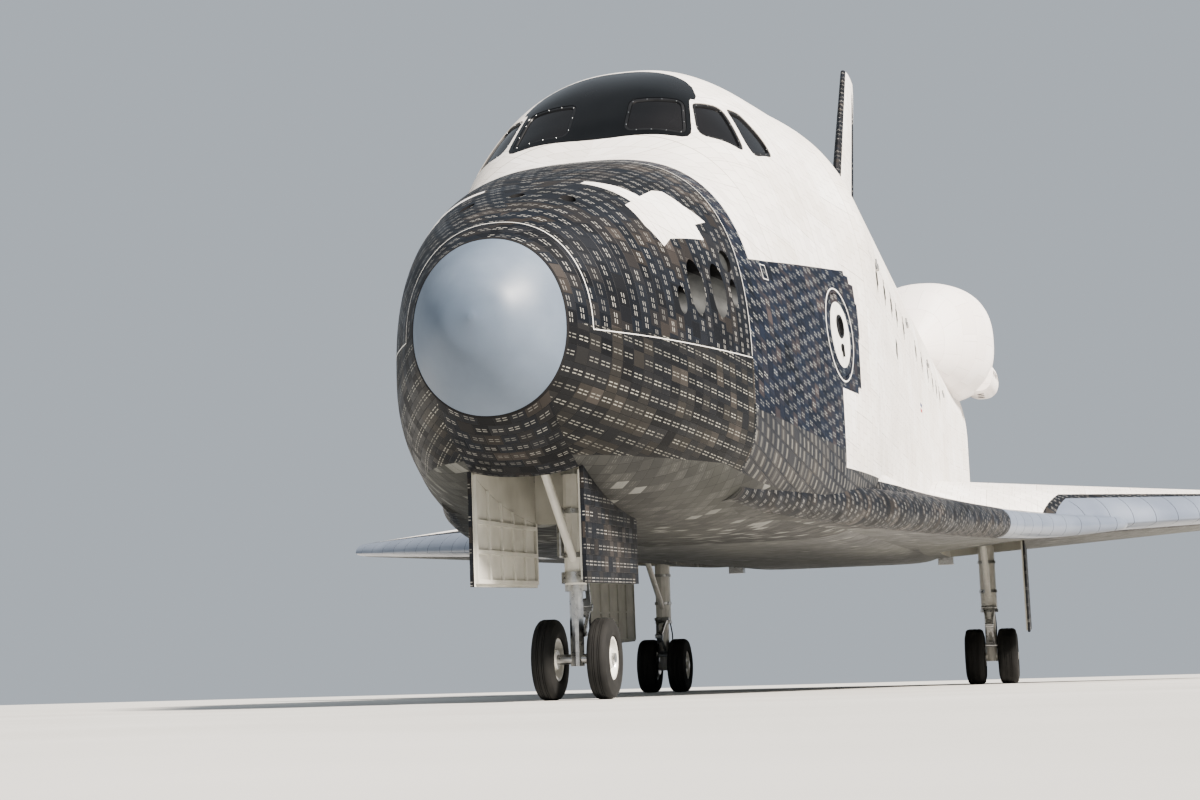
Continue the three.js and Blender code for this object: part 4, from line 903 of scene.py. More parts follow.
# White felt patch, stepped along the tiles, with a strip that runs up from it
feltPatch = [
    # aft, angle in degrees
    (1.99, 54.1), (2.41, 55.8), (2.67, 56.4), (2.82, 54.5), (2.95, 45.9), (3.19, 37.9), (2.92, 37.7),
    (2.95, 31.9), (2.62, 33.3), (2.29, 34.5), (2.11, 32.1), (1.99, 42.2),
]
feltStrip = [(2.06, 76.0), (2.16, 76.0), (2.3, 64.0), (2.36, 55.2), (2.13, 54.8), (2.1, 63.0)]
for side, word in ((1, "Left"), (-1, "Right")):
    patches = []
    for outline in (feltPatch, feltStrip):
        corners = [(aft, math.radians(degrees)) for aft, degrees in outline]
        patches.append(split(module, skinTool(corners, side, 0.3, 0.3), "patch"))
    settle(joined(patches), "noseFeltPatch" + word, "airframe", [whiteTile])
settle(
    rowsFromWaist(module), "noseThrusterModule", "airframe",
    [blackTile, sootBlack, scoopMetal], ["nose_thruster_module"],
)

doorsHalf = noseWell["halfWidth"]
lower = skin("lower", stations["capEnd"] + 0.0003, stations["bayFront"])
carve(lower, below(stations["deck"]), "INTERSECT")
carve(lower, box(-doorsHalf, doorsHalf, noseWell["front"], noseWell["back"], -far, noseWell["top"], 1))
bottom = smoothColumn(bodyRows, 2, noseFitting["back"])
fitting = box(
    -noseFitting["halfWidth"], noseFitting["halfWidth"], noseFitting["front"], noseFitting["back"],
    bottom - noseFitting["drop"], bottom + 0.2, 2,
)
carve(lower, fitting, "UNION")
whiteLower = split(lower, box(-far, far, 6.67, 2 * far, stations["belly"], far), "whiteLower")
settle(whiteLower, "cabinLowerSides", "airframe", [whiteTile])
# Belly tile on both sides of the gear doors, and black tile ahead of them
bellyEdge = [(1.2, -far), (1.2, 0.6), (3.2, 0.6), (4.2, 0.45), (5.4, 0.36), (20, 0.33), (20, -far)]
bellyTool = sidePrism(bellyEdge, -far, far)
carve(bellyTool, box(-doorsHalf, doorsHalf, 0, 3.6, 1 - far, far))
belly = split(lower, bellyTool, "belly")
settle(belly, "noseBelly", "airframe", [charcoalBellyTile, liner, steel])
chineBand = [(3.63, 1.18), (6.67, 0.95), (8.788, 0.9), (8.788, 0.2), (3.63, 0.2)]
chine = split(lower, sidePrism(chineBand, -far, far), "chine")
settle(chine, "chineTiles", "airframe", [chineTile, liner, steel])
chinPanel = split(lower, box(-doorsHalf, doorsHalf, 0, 1.6, -far, 1.3), "chinPanel")
settle(chinPanel, "chinPanel", "airframe", [blackTile, liner])
sideLower = split(lower, box(-far, far, 3.62, far, -far, far), "sideLower")
settle(sideLower, "cabinBlackLowerSides", "airframe", [blackSideTile])
settle(
    rowsFromWaist(lower), "forwardFuselageLower", "airframe", [blackChinTile, liner, steel],
    ["forward_fuselage_lower"],
)
print("nose made")

# Crew cabin
cabinWall = 0.11
hatch = {"aft": 6.78, "z": 2.35, "radius": 0.503, "innerRadius": 0.488, "opening": 0.511,
         "disc": 0.4, "window": 0.125, "windowUp": 0.1, "ringInner": 0.552, "ringOuter": 0.572}
hatchHinge = {"pin": 0.012, "reach": 0.09, "inset": 0.014, "below": 0.024, "slot": 0.07, "arm": 0.055}
paneEdge = {"round": 0.11, "frame": 0.04, "screwIn": 0.022, "screwSpacing": 0.17, "screw": 0.0085}
windows = [
    # corners of one port pane as (aft, x)
    [(4.78, 0.32), (4.88, 1.04), (5.39, 0.93), (5.25, 0.31)],
    [(4.93, 1.15), (5.34, 1.63), (5.72, 1.3), (5.4, 1.01)],
    [(5.41, 1.68), (6.14, 1.85), (6.0, 1.45), (5.79, 1.33)],
]
overheadWindow = [(6.45, 0.15), (6.45, 0.65), (6.95, 0.65), (6.95, 0.15)]
hatchAt, hatchOut, hatchBack, hatchUp = skinFrame(hatch["aft"], hatch["z"])
footAt, footOut, footBack, footUp = skinFrame(hatch["aft"], hatch["z"] - hatch["radius"])
hatchPin = footAt - footOut * hatchHinge["inset"] - footUp * hatchHinge["below"]

cabin = skin("cabin", stations["moduleEnd"] + 0.0003, stations["bayFront"], step=0.1, sides=192)
carve(cabin, aboveDeck, "INTERSECT")
carve(cabin, rezone(skin("tool", 4.15, 8.6, cabinWall), 2))
slope = (hatch["radius"] - hatch["innerRadius"]) / cabinWall
hatchDeep, hatchHigh = 0.25, 0.08  # how far the cutters reach in and out from the skin
hatchIn, hatchFront = hatchAt - hatchOut * hatchDeep, hatchAt + hatchOut * hatchHigh
hatchDoor = carve(copied(cabin, "hatchDoor"), rod(
    hatchIn, hatchFront, hatch["radius"] - slope * hatchDeep, hatch["radius"] + slope * hatchHigh, 96
), "INTERSECT")
carve(cabin, rod(hatchIn, hatchFront, hatch["opening"], sides=96))
slot, arm, pin = hatchHinge["slot"], hatchHinge["arm"], hatchHinge["pin"]
pinSlot = [(-slot, -0.022), (slot, -0.022), (slot, 0.06), (-slot, 0.06)]
carve(cabin, prism(pinSlot, footBack, footUp, footOut, -0.03, 0.09, hatchPin))
for side in (1, -1):
    for corners in [*windows, overheadWindow]:
        carve(cabin, skinTool(paneOutline(corners), side))

# Black below a stepped line on each side, and a black band behind the module
sideBlack = [
    (3.5, 0.5), (3.5, 6.5), (3.95, 6.5), (3.95, 2.8), (4.09, 2.82), (7.32, 3.22), (7.32, 3.17),
    (7.47, 3.17), (7.47, 3.08), (7.62, 3.08), (7.62, 2.85), (7.68, 2.85), (7.68, 2.4), (7.62, 2.4),
    (7.62, 1.78), (7.47, 1.78), (7.47, 1.62), (7.3, 1.62), (7.3, 1.66), (6.67, 1.66), (6.67, 0.5),
]
surroundOutline = [
    (4.7, -0.004), (4.706, 0.2), (4.725, 0.4), (4.76, 0.65), (4.8, 0.88), (4.83, 0.99), (4.87, 1.05),
    (4.93, 1.075), (5.0, 1.07), (5.42, 0.98), (5.47, 0.985), (5.5, 1.03), (5.6, 1.03), (5.81, 0.95),
    (5.96, 0.84), (6.08, 0.68), (6.16, 0.45), (6.2, 0.2), (6.205, -0.004),
]
surroundPlan = [(x, aft) for aft, x in surroundOutline]
surroundPlan += [(-x, aft) for aft, x in surroundOutline[-2:0:-1]]
cabinBlack = split(cabin, sidePrism(sideBlack, -far, far), "cabinBlack")
surround = split(cabin, planPrism(surroundPlan, 3.0, far), "surround")
pinReach = footBack * hatchHinge["reach"]
carve(hatchDoor, rod(hatchPin - pinReach, hatchPin + pinReach, pin, sides=16), "UNION")
lug = [(-arm, -pin / 2), (arm, -pin / 2), (arm, 0.06), (-arm, 0.06)]
carve(hatchDoor, prism(lug, footBack, footUp, footOut, -pin, pin, hatchPin), "UNION")
rezone(cabin, 2, lambda face: face.center.y > stations["bayFront"] - 0.001)
settle(cabin, "crewCabin", "airframe", [whiteTile, sootBlack, liner], ["crew_cabin"])
settle(cabinBlack, "cabinBlackSides", "airframe", [blackSideTile, sootBlack, liner])
settle(surround, "windshieldSurround", "airframe", [surroundCoat, sootBlack, liner])


# Heads of the screws that hold a frame down, evenly along its edge
def frameScrews(corners, side):
    outline = roundedOutline(corners, paneEdge["round"], 3)
    middle = sum(outline, Vector((0, 0))) / len(outline)
    run = [point + (middle - point).normalized() * paneEdge["screwIn"] for point in outline]
    run.append(run[0])
    lengths = runLengths(run)
    heads = []
    for s in np.arange(0.03, lengths[-1], paneEdge["screwSpacing"]):
        aft, x = (float(np.interp(s, lengths, [p[k] for p in run])) for k in (0, 1))
        head, base = (bodyPoint(aft, angleAtSide(aft, x), inset) for inset in (0.008, 0.03))
        head.x, base.x = side * head.x, side * base.x
        out = (head - base).normalized()
        heads.append(rod(head - out * 0.01, head + out * 0.0025, paneEdge["screw"], 0.0075, 10))
    return heads


# Outer panes, each in a frame that a row of screws holds down
paneSheet = skinSheet(4.5, 7.2, -0.026, 0.052, sides=240, step=0.05)
frameSheet = skinSheet(4.5, 7.2, -0.008, 0.06, sides=240, step=0.05)
panes, frames, screws = [], [], []
for side in (1, -1):
    for corners in [*windows, overheadWindow]:
        panes.append(carve(copied(paneSheet), skinTool(paneOutline(corners, 0.004), side), "INTERSECT"))
        rim = carve(copied(frameSheet), skinTool(paneOutline(corners, 0.003), side), "INTERSECT")
        frames.append(carve(rim, skinTool(paneOutline(corners, paneEdge["frame"], 0.09), side)))
        screws += frameScrews(corners, side)
for sheet in (paneSheet, frameSheet):
    bpy.data.objects.remove(sheet)
settle(joined(panes), "windowPanes", "airframe", [paneGlass])
settle(joined(frames), "windowFrames", "airframe", [paneFrame])
settle(joined(screws), "windowScrews", "airframe", [steel])
for node in ("windshield", "overhead_windows"):
    bpy.data.objects[node].data.materials[0] = paneGlass

# Side hatch: black tiles, a plain white disc, a round window and a handle
disc = skinSheet(6.2, 7.4, 0.003, 0.01, sides=240, step=0.05)
carve(disc, rod(hatchIn, hatchAt + hatchOut * 0.1, hatch["disc"], sides=96), "INTERSECT")
windowAt = hatchAt + hatchUp * hatch["windowUp"]
for obj in (disc, hatchDoor):
    carve(obj, rod(
        windowAt - hatchOut * 0.035, windowAt + hatchOut * 0.1, hatch["window"], sides=64, zone=1
    ))
windowRing = turned([
    (-0.03, 0.105), (0.012, 0.11), (0.016, 0.12), (0.014, 0.142), (0.0, 0.146), (-0.03, 0.125),
    (-0.03, 0.105),
], windowAt, hatchOut, 64)
settle(disc, "hatchDisc", "side_hatch", [whiteLine, sootBlack])
settle(windowRing, "hatchWindowFrame", "side_hatch", [paneFrame])
hatchGlass = rod(windowAt - hatchOut * 0.034, windowAt - hatchOut * 0.012, 0.12, sides=64)
settle(hatchGlass, "hatchGlass", "side_hatch", [paneGlass])
boss, grip = hatchAt - hatchUp * 0.16, hatchOut * 0.017
handle = joined([
    rod(boss + hatchOut * 0.002, boss + hatchOut * 0.016, 0.05, sides=48),
    rod(hatchAt - hatchUp * 0.13 + grip, hatchAt - hatchUp * 0.27 + grip, 0.012, sides=20),
])
settle(handle, "hatchHandle", "side_hatch", [paneFrame])
settle(
    hatchDoor, "sideHatch", "side_hatch", [blackSideTile, sootBlack, liner], ["side_hatch"]
)


# Places across the top of the skin at one station, from a height on the port side to the other side
def acrossTop(aft, z, count):
    low = angleAtHeight(aft, z)
    return [(aft, angle) for angle in np.linspace(low, math.pi - low, count)]


def toStarboard(places):
    return [(aft, math.pi - angle) for aft, angle in places]


# Plain white lines: round the module, a small square behind it and a ring round the hatch
outlineBox = {"front": 0.8, "back": 3.6, "low": 1.66, "rise": 0.04}
front, back, low = outlineBox["front"], outlineBox["back"], outlineBox["low"]
moduleSide = [
    (aft, angleAtHeight(aft, low + outlineBox["rise"] * (aft - front) / (back - front)))
    for aft in np.linspace(front, back, 30)
]
runs = [acrossTop(front, low, 64), moduleSide, acrossTop(3.595, 1.72, 80), toStarboard(moduleSide)]
lines = [ribbon(places) for places in runs]
square = [(4.28, 2.64), (4.44, 2.65), (4.44, 2.81), (4.28, 2.8)]
for corner, after in zip(square, square[1:] + square[:1]):
    places = [
        (corner[0] + (after[0] - corner[0]) * t, corner[1] + (after[1] - corner[1]) * t)
        for t in (-0.04, 0.25, 0.5, 0.75, 1.04)
    ]
    edge = [(aft, angleAtHeight(aft, z)) for aft, z in places]
    lines += [ribbon(edge), ribbon(toStarboard(edge))]
settle(joined(lines), "whiteOutlines", "airframe", [whiteLine])
hatchRing = skinSheet(6.1, 7.5, 0.0025, 0.006, sides=240, step=0.05)
ringIn, ringOut = hatchAt - hatchOut * 0.3, hatchAt + hatchOut * 0.3
carve(hatchRing, rod(ringIn, ringOut, hatch["ringOuter"], sides=96), "INTERSECT")
carve(hatchRing, rod(ringIn, ringOut, hatch["ringInner"], sides=96))
settle(hatchRing, "hatchRing", "airframe", [whiteLine])
print("cabin made")

# Mid fuselage: white sides, belly between the gloves, lined bay
bayTube = {"radius": 2.286, "centre": 3.378}
door = {"gap": 0.01, "foot": 0.015, "wall": 0.16, "half": 0.09, "slot": 0.035, "arm": 0.025, "root": 0.06,
        "rise": 0.018, "notch": 0.048, "pin": 0.014, "hinges": [9.9, 15.3, 20.7, 26.1],
        "lengths": 5, "joint": 0.006, "jointDeep": 0.012}
sill = stations["sill"]
hingeX = bodyPoint(stations["bayFront"], angleAtHeight(stations["bayFront"], sill)).x + door["foot"]
front, back = stations["bayFront"], stations["bayEnd"]


def bayRoom(shrink=0.0, start=front, end=back + 0.0003):
    radius = bayTube["radius"] - shrink
    arc = [
        (radius * math.cos(t), bayTube["centre"] + radius * math.sin(t))
        for t in np.linspace(-math.pi, 0, 65)
    ]
    return prism(arc + [(radius, far), (-radius, far)], xAxis, zAxis, yAxis, start, end, zone=1)


mid = skin("mid", front + 0.0003, back, step=0.4)
carve(mid, below(sill), "INTERSECT")
carve(mid, bayRoom())
half, root, rise, slot, arm = (door[key] for key in ("half", "root", "rise", "slot", "arm"))
for aft in door["hinges"]:
    start, end = aft - half, aft + half
    lugs = box(hingeX - root, hingeX + rise, start, end, sill - root, sill, 2)
    carve(lugs, box(hingeX - rise, hingeX + rise, start, end, sill - 0.001, sill + rise, 2), "UNION")
    carve(lugs, box(hingeX - door["foot"], far, aft - slot, aft + slot, sill - 2 * root, far))
    carve(lugs, box(-far, hingeX - door["foot"], aft - slot, aft + slot, sill - rise, far))
    carve(lugs, rod((hingeX, aft - 0.2, sill), (hingeX, aft + 0.2, sill), door["pin"] + 0.001, sides=24))
    room = box(hingeX - 0.03 - rise, far, aft - slot, aft + slot, sill - rise - 0.004, far, 2)
    for side in (1, -1):
        carve(mid, room if side > 0 else mirrored(room), keepTool=side > 0)
        carve(mid, lugs if side > 0 else mirrored(lugs), "UNION", keepTool=side > 0)
    bpy.data.objects.remove(room)
    bpy.data.objects.remove(lugs)
midBelly = split(mid, below(stations["belly"]), "midBelly")
settle(midBelly, "midFuselageBelly", "airframe", [bellyTile, liner, steel])
settle(mid, "midFuselage", "airframe", [whiteTile, liner, steel], ["mid_fuselage"])
bayRib = {"count": 14, "inset": 0.6, "half": 0.02, "depth": 0.075, "below": 0.03}
bayRail = {"x": 0.9, "inset": 0.05, "half": 0.03, "low": 1.2, "high": 1.34}
ribs = []
for aft in np.linspace(front + bayRib["inset"], back - bayRib["inset"], bayRib["count"]):
    rib = bayRoom(0.001, aft - bayRib["half"], aft + bayRib["half"])
    carve(rib, bayRoom(bayRib["depth"], aft - 0.1, aft + 0.1))
    ribs.append(carve(rib, below(sill - bayRib["below"]), "INTERSECT"))
for x in (-bayRail["x"], bayRail["x"]):
    ribs.append(box(
        x - bayRail["half"], x + bayRail["half"], front + bayRail["inset"], back - bayRail["inset"],
        bayRail["low"], bayRail["high"],
    ))
settle(joined(ribs), "bayFrames", "airframe", [liner])

leaf = skin("leaf", front + door["gap"], back - door["gap"], step=0.4)
carve(leaf, rezone(skin("tool", front - 0.1, back + 0.1, door["wall"], step=0.4), 1))
carve(leaf, box(
    door["gap"] / 2, far, front + door["gap"], back - door["gap"], sill + door["foot"], far
), "INTERSECT")


def doorRod(aft, reach, radius, sides, zone):
    return rod((hingeX, aft - reach, sill), (hingeX, aft + reach, sill), radius, sides=sides, zone=zone)


for aft in door["hinges"]:
    carve(leaf, doorRod(aft, half + 0.01, door["notch"], 32, 1))
    carve(leaf, doorRod(aft, half, door["pin"], 24, 2), "UNION")
    carve(leaf, box(hingeX - 2 * door["pin"], hingeX, aft - arm, aft + arm, sill, sill + 0.096, 2), "UNION")
for k in range(1, door["lengths"]):
    # Expansion joints between the door's lengths
    aft = front + (back - front) * k / door["lengths"]
    groove = skin("groove", aft - door["joint"], aft + door["joint"], -0.02, step=0.01)
    carve(leaf, carve(groove, skin("tool", aft - 0.02, aft + 0.02, door["jointDeep"], step=0.01)))
settleTwins(
    leaf, "payloadBayDoor", "payload_bay_door_left", [whiteTile, liner, steel],
    ["payload_bay_door_left"],
)
cooler = {"count": 4, "first": 0.25, "spacing": 4.55, "length": 4.3, "outside": 0.162, "inside": 0.19,
          "x0": 0.3, "x1": 2.42, "low": 0.35}
coolers = []
for k in range(cooler["count"]):
    start = front + cooler["first"] + k * cooler["spacing"]
    panel = skin("panel", start, start + cooler["length"], cooler["outside"], step=0.4)
    carve(panel, skin("tool", start - 0.1, start + (cooler["length"] + 0.2), cooler["inside"], step=0.4))
    kept = box(cooler["x0"], cooler["x1"], 0, 40, sill + cooler["low"], far)
    coolers.append(carve(panel, kept, "INTERSECT"))
settleTwins(joined(coolers), "radiatorPanels", "payload_bay_door_left", [radiator])
print("bay made")

# Small dark vents along the sill, a plain dark square lower down, and two short plain bars
ventStations = [9.76, 10.94, 12.07, 13.04, 14.42, 17.17, 18.75, 20.47, 21.98, 23.25, 24.37]
sheet = skinSheet(9.3, 25.0, 0.003, 0.004, step=0.4)
carve(sheet, box(0, far, 0, 40, 1.5, sill - 0.01), "INTERSECT")
vents = []
z = 3.54
for aft in ventStations:
    mark = [
        (aft, z - 0.2), (aft + 0.03, z - 0.11), (aft + 0.14, z - 0.07), (aft + 0.12, z + 0.07),
        (aft + 0.04, z + 0.1), (aft + 0.04, z + 0.185), (aft - 0.03, z + 0.185), (aft - 0.03, z + 0.1),
        (aft - 0.14, z + 0.06), (aft - 0.1, z - 0.08),
    ]
    vents.append(carve(copied(sheet), sidePrism(mark, 0, far), "INTERSECT"))
darkSquare = [(12.5, 2.86), (12.72, 2.8), (12.74, 3.04), (12.52, 3.1)]
vents.append(carve(copied(sheet), sidePrism(darkSquare, 0, far), "INTERSECT"))
settleTwins(joined(vents), "sideVents", "airframe", [sootBlack])
for name, material, low in (("sideStripeRed", redLine, 2.5), ("sideStripeBlue", blueLine, 2.6)):
    stripe = carve(copied(sheet), box(0, far, 17.55, 17.95, low, low + 0.055), "INTERSECT")
    settleTwins(stripe, name, "airframe", [material])
bpy.data.objects.remove(sheet)

# Aft fuselage
engines = [
    # label, x, aft, z, pitch and toe in degrees, radius of the heat shield's dome
    ("Top", 0, 30.709, 4.47, 16, 0, 0.92),
    ("Left", 1.346, 31.298, 1.92, 10, 3.5, 1.0),
    ("Right", -1.346, 31.298, 1.92, 10, -3.5, 1.0),
]
tailInside = {"front": 27.45, "wall": 0.22}
aftAttach = {"x0": 2.26, "x1": 2.6, "y0": 27.31, "y1": 27.61, "z0": -0.045, "z1": 0.42}
flap = {"aft": 32.918, "z": 0.508, "r": 0.225, "end": 34.975, "endHalf": 0.035, "halfSpan": 2.85,
        "brackets": (-1.5, 1.5)}
bracketSize = {"half": 0.02, "slot": 0.03, "eye": 0.06}
lipShare = 0.66  # how far a hinge's lip wraps its rounded nose, as a share of the nose's radius
hingeGap = 0.012


def engineLine(pitch, toe):
    up, out = math.radians(pitch), math.radians(toe)
    return Vector((math.sin(out), math.cos(up) * math.cos(out), math.sin(up) * math.cos(out)))


tail = skin("tail", stations["bayEnd"] + 0.0003, stations["base"], step=0.3)
wall = tailInside["wall"]
carve(tail, skin("tool", tailInside["front"], stations["base"] - wall, wall, step=0.3))
for label, x, aft, z, pitch, toe, dome in engines:
    at = Vector((x, aft, z))
    carve(tail, rod(at, at + engineLine(pitch, toe) * 3, 0.835, sides=64, zone=1))
aftFitting = box(*aftAttach.values(), 2)
shelf = box(
    -flap["halfSpan"], flap["halfSpan"], stations["base"] - 0.03, flap["aft"] - lipShare * flap["r"],
    flap["z"] - flap["r"], flap["z"] + flap["r"],
)
carve(shelf, rod((-5, flap["aft"], flap["z"]), (5, flap["aft"], flap["z"]), flap["r"] + hingeGap, sides=64))
carve(tail, aftFitting, "UNION", keepTool=True)
carve(tail, mirrored(aftFitting), "UNION")
bpy.data.objects.remove(aftFitting)
carve(tail, mapFlat(shelf), "UNION")
baseFace = split(tail, box(-far, far, stations["base"] - 0.02, 2 * far, -far, far), "baseFace")
mapFlat(baseFace)
settle(baseFace, "baseHeatShield", "airframe", [blackTile])
tailBelly = split(tail, below(stations["belly"]), "tailBelly")
settle(tailBelly, "aftFuselageBelly", "airframe", [bellyTile, liner, steel])
rezone(tail, 3, lambda face: face.center.y < stations["bayEnd"] + 0.001)
settle(
    tail, "aftFuselage", "airframe", [whiteTile, sootBlack, steel, liner], ["aft_fuselage"]
)
half, slot, eye = bracketSize.values()
eyes = []
for x in flap["brackets"]:
    eyes.append(box(x - half, x + half, flap["aft"] - 0.285, flap["aft"], flap["z"] - eye, flap["z"] + eye))
settle(joined(eyes), "bodyFlapBrackets", "airframe", [steel])

# Body flap, thin at its trailing edge and rounded at its hinge
flapNose = [
    (flap["aft"] + flap["r"] * math.cos(t), flap["z"] + flap["r"] * math.sin(t))
    for t in np.linspace(math.pi / 2, 3 * math.pi / 2, 25)
]
flapOutline = flapNose + [(flap["end"], flap["z"] + side * flap["endHalf"]) for side in (-1, 1)]
flapBody = mapFlat(sidePrism(flapOutline, -flap["halfSpan"], flap["halfSpan"]))
for x in flap["brackets"]:
    carve(flapBody, box(x - slot, x + slot, 30, flap["aft"] + slot + eye, -far, far))
settle(flapBody, "bodyFlap", "body_flap", [blackTile], ["body_flap"])
print("tail made")

# Main engines: bells with stiffening hoops and a coolant ring, quilted domes where they leave the base
bellRows = np.array([[0.95, 0.33], [1.7, 0.7], [2.3, 0.915], [3.1, 1.095], [3.988, 1.195]])
bell = {"hoops": [1.45, 1.85, 2.2, 2.55, 2.9, 3.2, 3.5, 3.75], "hoopHalf": 0.018, "hoopRise": 0.022,
        "ringAt": 1.32, "ringRadius": 0.05}
domeRows = [
    # height over the base, share of the dome's radius
    (0.1, 0.985), (0.25, 0.94), (0.42, 0.86), (0.55, 0.76), (0.66, 0.66), (0.7, 0.58),
]


def bellRadius(along):
    return smoothColumn(bellRows, 1, along)


def engineBell():
    outside = [(-0.15, 0), (-0.15, 0.56), (0.95, 0.56), (0.95, 0.345)]
    along = 0.97
    while along < 3.93:
        near = min(abs(hoop - along) for hoop in bell["hoops"])
        outside.append((along, bellRadius(along) + (bell["hoopRise"] if near < bell["hoopHalf"] else 0)))
        along += 0.018
    outside += [(3.93, 1.19), (3.94, 1.195), (3.988, 1.195), (3.988, 1.17)]
    inside = [(a, bellRadius(a) - 0.032) for a in np.linspace(3.95, 1.72, 40)]
    return outside + inside + [(1.01, 0.165), (1.01, 0)]


def engineDome(at, line, radius):
    atBase = at + line * ((stations["base"] - at.y) / line.y)
    profile = [(0.003, 0.0), (0.003, radius)] + [(a, radius * share) for a, share in domeRows] + [(0.7, 0)]
    blanket = turned(profile, Vector((atBase.x, stations["base"], atBase.z)), yAxis, 72)
    clear = [(a, bellRadius(a) + 0.004) for a in np.linspace(0.97, 3.9, 20)]
    return carve(blanket, turned([(0.5, 0), (0.5, 0.36)] + clear + [(3.9, 0)], at, line, 72))


def coolantRing(at, line):
    radius = bell["ringRadius"]
    middle = bellRadius(bell["ringAt"]) + radius
    turns = np.linspace(0, 2 * math.pi, 17)
    profile = [(radius * math.cos(t), middle + radius * math.sin(t)) for t in turns]
    return turned(profile, at + line * bell["ringAt"], line, 72)


for label, x, aft, z, pitch, toe, dome in engines:
    at, line = Vector((x, aft, z)), engineLine(pitch, toe)
    cone, node = turned(engineBell(), at, line, 96), "main_engine_" + label.lower()
    settle(cone, "engineBell" + label, "airframe", [bellMetal], [node])
    settle(engineDome(at, line, dome), "engineDome" + label, "airframe", [podBlanket])
    settle(coolantRing(at, line), "engineManifold" + label, "airframe", [bellMetal])
print("engines made")

# Wings
wingRows = np.array([
    # x, height of the chord plane, thickness
    [2.4, 0.32, 1.5],
    [5.055, 0.455, 1.173],
    [11.896, 0.83, 0.33],
])
gloveRows = np.array([
    # aft, edgeX, edgeZ, edgeRadius, topAtBody
    [3.9, 1.65, 0.43, 0.15, 0.62],
    [5.0, 1.99, 0.39, 0.225, 0.76],
    [8.788, 2.88, 0.35, 0.255, 0.85],
    [14.0, 3.8, 0.38, 0.26, 0.9],
    [16.0, 4.13, 0.4, 0.25, 0.94],
    [17.5, 4.42, 0.415, 0.24, 0.97],
    [18.5, 4.68, 0.43, 0.23, 1.0],
    [19.3, 4.96, 0.44, 0.215, 1.0],
    [20.0, 5.29, 0.45, 0.195, 1.0],
    [20.7, 5.74, 0.47, 0.165, 1.0],
    [21.5, 6.23, 0.495, 0.12, 1.0],
    [23.5, 6.23, 0.52, 0.11, 1.0],
])
wingTip = 11.896
underShare = 0.2  # of the wing's thickness, below its chord plane
hingeAft = 29.235
# x, height and nose radius of the elevons' hinge at its two ends
hingeIn, hingeOut = (2.95, 0.54, 0.322), (11.7, 0.898, 0.126)
elevonSplit = 7.925
mainWell = {"x0": 2.7, "x1": 4.24, "y0": 20.42, "y1": 24.33, "top": 0.96}
edgePanels = {"depth": 0.56, "strip": 0.13, "seams": 22}


def edgeAft(x):
    return 20.295 + (x - 5.055)


def trailAft(x):
    return 32.746 - 0.1773 * x


def foil(share):
    series = 0.2969 * math.sqrt(share) - 0.126 * share - 0.3516 * share ** 2
    return (series + 0.2843 * share ** 3 - 0.1015 * share ** 4) / 0.1


def wingBlank():
    shares = [(1 - math.cos(math.pi * k / 44)) / 2 for k in range(45)]
    rings, uvs = [], []
    for x in np.concatenate([np.linspace(2.4, 5.055, 6), np.linspace(5.055, wingTip, 15)[1:]]):
        z, thick = (np.interp(x, wingRows[:, 0], wingRows[:, k]) for k in (1, 2))
        start, chord = edgeAft(x), trailAft(x) - edgeAft(x)
        ring = [(x, start + s * chord, z + (1 - underShare) * thick * foil(s)) for s in reversed(shares)]
        ring += [(x, start + s * chord, z - underShare * thick * foil(s)) for s in shares[1:]]
        rings.append(ring + ring[:1])
        uvs.append([(p[0], p[1]) for p in rings[-1]])
    zones = [1] * 44 + [0] * 45
    return rezone(loft("wingBlank", rings, uvs, zones), 1, lambda face: face.center.x > wingTip - 0.001)


def gloveBlank():
    rings, uvs = [], []
    for aft in np.linspace(3.9, 23.5, 99):
        edgeX, edgeZ, radius, topAtBody = smoothRow(gloveRows, aft)
        foot = bodyPoint(aft, math.radians(-65), 0.025)
        top = bodyPoint(aft, angleAtHeight(aft, topAtBody), 0.03)
        arc = [
            (edgeX - radius + radius * math.cos(t), edgeZ + radius * math.sin(t))
            for t in np.linspace(-math.pi / 2, math.pi / 2, 15)
        ]
        crown = Vector(arc[-1])
        inward = Vector((top.x, top.z)) - crown
        strip = crown + inward.normalized() * min(0.16, inward.length * 0.4)
        section = [(0.9, 0.5), (foot.x, foot.z), *arc, tuple(strip), (top.x, top.z)]
        section.append(section[0])
        girth, run = [0.0], 0.0
        for a, b in zip(section, section[1:]):
            run += math.dist(a, b)
            girth.append(run)
        rings.append([(x, aft, z) for x, z in section])
        uvs.append([(g, aft) for g in girth])
    zones = [0, 0] + [2] * 14 + [2, 1, 1]
    return loft("gloveBlank", rings, uvs, zones)


def edgeTool(grow):
    tip = wingTip + 0.1
    return planPrism([
        (3.86 - grow, 16 - grow), (tip, 16 - grow), (tip, edgeAft(tip) + edgePanels["depth"] + grow),
        (5.1 - grow, edgeAft(5.1) + edgePanels["depth"] + grow), (4.42 - grow, 18.7 + grow),
    ], -far, far)


hingeStart, hingeEnd = (Vector((x, hingeAft, z)) for x, z, radius in (hingeIn, hingeOut))
hingeLine = (hingeEnd - hingeStart).normalized()
hingeRise = hingeLine.cross(yAxis)


def hingeShare(x):
    return (x - hingeIn[0]) / (hingeOut[0] - hingeIn[0])


def hingePoint(x):
    return hingeStart + (hingeEnd - hingeStart) * hingeShare(x)


def hingeRadius(x):
    return hingeIn[2] + hingeShare(x) * (hingeOut[2] - hingeIn[2])


def hingeNose(x0, x1, gap):
    return rod(hingePoint(x0), hingePoint(x1), hingeRadius(x0) + gap, hingeRadius(x1) + gap, 64)


# A block whose three spans run along its own three directions
def blockAt(at, u, v, w, spans, zone=0):
    (u0, u1), (v0, v1), (w0, w1) = spans
    return prism([(u0, v0), (u1, v0), (u1, v1), (u0, v1)], u, v, w, w0, w1, at, zone)


def hingeBlock(at, spans, zone=0):
    return blockAt(at, hingeLine, yAxis, hingeRise, spans, zone)


